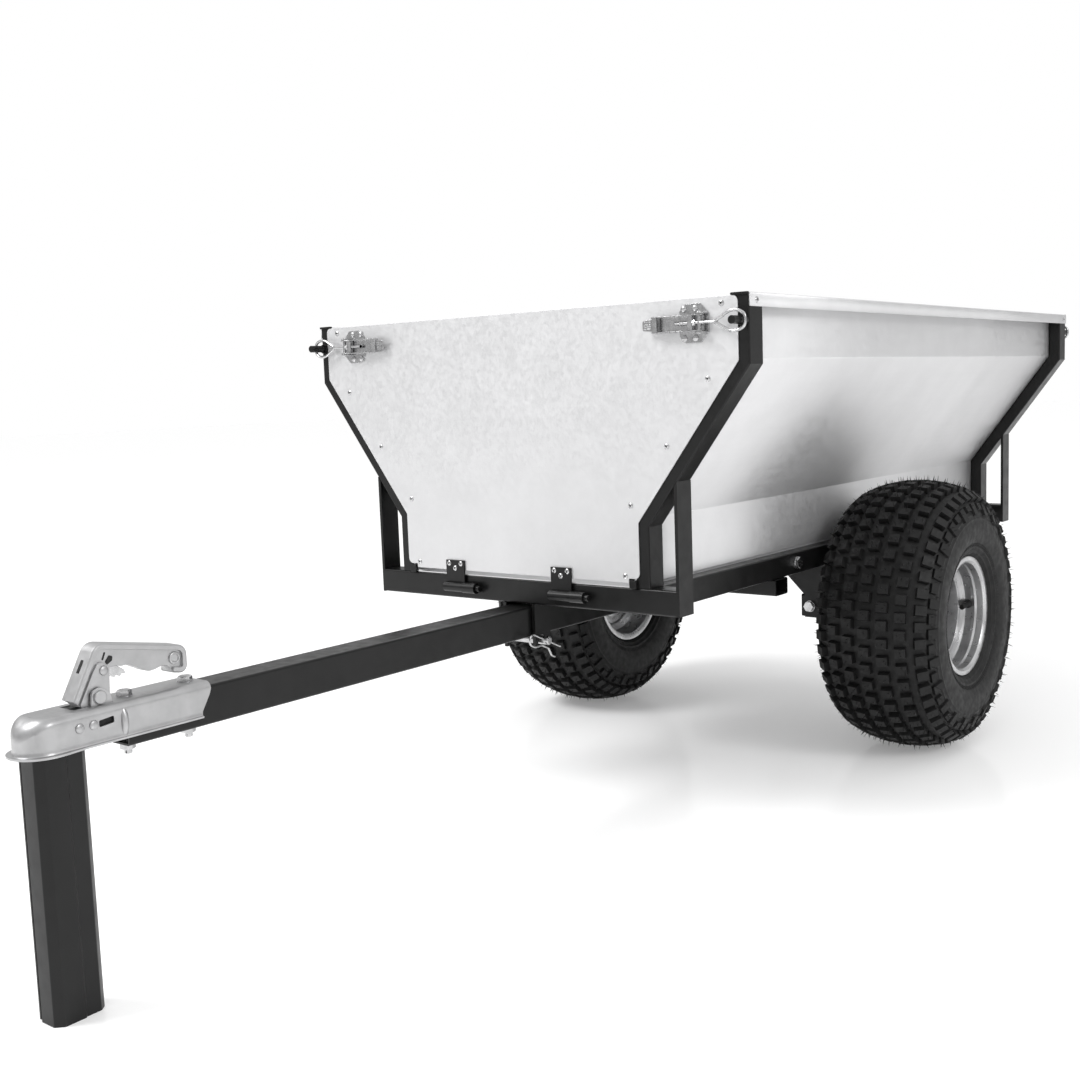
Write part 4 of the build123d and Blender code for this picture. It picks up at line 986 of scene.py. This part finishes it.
def hex_bolt(shape, centre, axis, flats, head, washer, tail=0.0, direction=1):
    """Chamfered hexagon head on a washer; a tail is a thread that stands past a nut."""
    corner = flats / 2 / cos(pi / 6)
    profiles = [([(0, washer), (1.8, washer)], 32),
                ([(1.6, corner), (1.6 + head - 1.2, corner), (1.6 + head, corner * 0.86)], 6)]
    if tail:
        profiles.append(([(0, tail), (head + 6, tail), (head + 7, tail * 0.7)], 16))
    for profile, steps in profiles:
        shape.lathe([(direction * a, r) for a, r in profile], centre, axis, steps)


def coupling_bolts():
    """Two bolts down through the coupling and the drawbar, with nuts below."""
    shape = Shape()
    for y in COUPLING_BOLT_Y:
        hex_bolt(shape, (0, y, SHELL_TOP), "z", 16, 6.5, 10)
        hex_bolt(shape, (0, y, DRAWBAR_LOW.z), "z", 16, 8, 10, tail=5, direction=-1)
        shape.lathe([(DRAWBAR_LOW.z - 1, 5), (SHELL_TOP + 1, 5)], (0, y, 0), "z", 16)
    build("coupling_hex_bolts", shape, LOOKS[ZINC], "chassis", ["coupling_bolts"], smooth=28)


# ---- stand -------------------------------------------------------------------------------
def stand():
    """Folded channel with broad corner bends, an open slot in front and a step on the side."""
    low, high = box_mm("stand_channel")
    x0, x1, y0, y1 = low.x, high.x, low.y, high.y
    wall, bend, slot, step = 3.0, 9.0, -9.0, 1.8
    step_y = y0 + 38
    right = [(slot, y0), (x1 - bend, y0), (x1, y0 + bend), (x1, step_y - 2), (x1 - step, step_y),
             (x1 - step, y1 - bend), (x1 - bend, y1)]
    left = [(x0 + bend, y1), (x0, y1 - bend), (x0, y0 + bend), (x0 + 6, y0 + 3), (slot - 7, y0 + 3)]
    line = rounded(right + left, [0, 3, 3, 1, 1, 3, 3, 3, 3, 2, 2, 0], 4, closed=False)
    inner = []
    for i, (x, y) in enumerate(line):
        before = Vector(line[max(i - 1, 0)])
        after = Vector(line[min(i + 1, len(line) - 1)])
        along = (after - before).normalized()
        inner.append((x - along.y * wall, y + along.x * wall))
    shape = Shape().prism(line + inner[::-1], low.z, SHELL_FOOT - 1.5, "z")
    build("stand_folded_channel", shape, LOOKS[BLACK], "prop_stand", ["stand_channel"], bevel=0.5)


# ---- room and camera -----------------------------------------------------------------------
def floor():
    """Pale sweep: mostly matt, with a faint gloss and a little glow of its own."""
    mesh = bpy.data.meshes.new("floor")
    reach = 30.0
    corners = [(-reach, -reach, 0), (reach, -reach, 0), (reach, reach, 0), (-reach, reach, 0)]
    mesh.from_pydata(corners, [], [[0, 1, 2, 3]])
    plane = bpy.data.objects.new("floor", mesh)
    bpy.context.scene.collection.objects.link(plane)
    material = bpy.data.materials.new("studio_floor")
    material.use_nodes = True
    nodes, links = material.node_tree.nodes, material.node_tree.links
    nodes.remove(nodes["Principled BSDF"])
    matt, gloss, glow = (nodes.new("ShaderNode" + kind) for kind in ("BsdfDiffuse", "BsdfGlossy", "Emission"))
    matt.inputs["Color"].default_value = (0.9, 0.9, 0.9, 1)
    gloss.inputs["Roughness"].default_value = 0.14
    glow.inputs["Strength"].default_value = 0.22
    shine, lit = nodes.new("ShaderNodeMixShader"), nodes.new("ShaderNodeAddShader")
    shine.inputs["Fac"].default_value = 0.13
    links.new(matt.outputs[0], shine.inputs[1])
    links.new(gloss.outputs[0], shine.inputs[2])
    links.new(shine.outputs[0], lit.inputs[0])
    links.new(glow.outputs[0], lit.inputs[1])
    links.new(lit.outputs[0], nodes["Material Output"].inputs["Surface"])
    mesh.materials.append(material)


def area_light(name, place, target, size, power):
    data = bpy.data.lights.new(name, "AREA")
    data.shape = "DISK"
    data.size = size
    data.energy = power
    light = bpy.data.objects.new(name, data)
    light.location = place
    light.rotation_euler = (Vector(target) - Vector(place)).to_track_quat("-Z", "Y").to_euler()
    bpy.context.scene.collection.objects.link(light)


def studio_world():
    """White behind the object; for everything else bright overhead and dimmer near the horizon."""
    world = bpy.data.worlds.new("studio")
    world.use_nodes = True
    nodes, links = world.node_tree.nodes, world.node_tree.links
    white = nodes["Background"]
    white.inputs["Color"].default_value = (1, 1, 1, 1)
    room_light = nodes.new("ShaderNodeBackground")
    place = nodes.new("ShaderNodeTexCoord")
    split = nodes.new("ShaderNodeSeparateXYZ")
    ramp = nodes.new("ShaderNodeValToRGB")
    ramp.color_ramp.elements[0].position = 0.02
    ramp.color_ramp.elements[0].color = (0.42, 0.42, 0.42, 1)
    ramp.color_ramp.elements[1].position = 0.6
    ramp.color_ramp.elements[1].color = (1.0, 1.0, 1.0, 1)
    links.new(place.outputs["Generated"], split.inputs["Vector"])
    links.new(split.outputs["Z"], ramp.inputs["Fac"])
    links.new(ramp.outputs["Color"], room_light.inputs["Color"])
    seen, rays = nodes.new("ShaderNodeMixShader"), nodes.new("ShaderNodeLightPath")
    links.new(rays.outputs["Is Camera Ray"], seen.inputs["Fac"])
    links.new(room_light.outputs[0], seen.inputs[1])
    links.new(white.outputs[0], seen.inputs[2])
    links.new(seen.outputs[0], nodes["World Output"].inputs["Surface"])
    return world


def room():
    scene = bpy.context.scene
    scene.world = studio_world()
    scene.view_settings.view_transform = "Standard"
    area_light("key", (-2.4, -3.4, 4.4), (0, 0.2, 0.4), 2.2, 190)
    area_light("side", (4.2, -0.5, 2.6), (0, 0.3, 0.5), 1.6, 60)


def camera():
    """Low three-quarter view of the coupling's end."""
    data = bpy.data.cameras.new("camera")
    data.sensor_width = 36.0
    data.lens = 43.52
    data.clip_start = 0.05
    data.clip_end = 200
    eye = bpy.data.objects.new("camera", data)
    eye.location = (1.34562, -1.939, 0.702412)
    eye.rotation_euler = [radians(turn) for turn in (83.4525, 2.0778, 38.0799)]
    bpy.context.scene.collection.objects.link(eye)
    bpy.context.scene.camera = eye


finish_cad_nodes()
camera()
floor()
room()
for which in (1, -1):
    side_sheet(which)
    tyre(which)
    rim(which)
    valve(which)
arm_caps()
corner_stops()
tub_blind_rivets()
for end_name, end_place in (("front", Matrix.Identity(4)), ("rear", TO_REAR)):
    gate_panel(end_name, end_place)
    gate_rivets(end_name, end_place)
latches()
coupling_shell()
coupling_ears()
slot_painted_shade()
coupling_handle()
handle_slots_painted_shade()
safety_catch()
coupling_bolts()
stand()

bpy.context.view_layer.update()
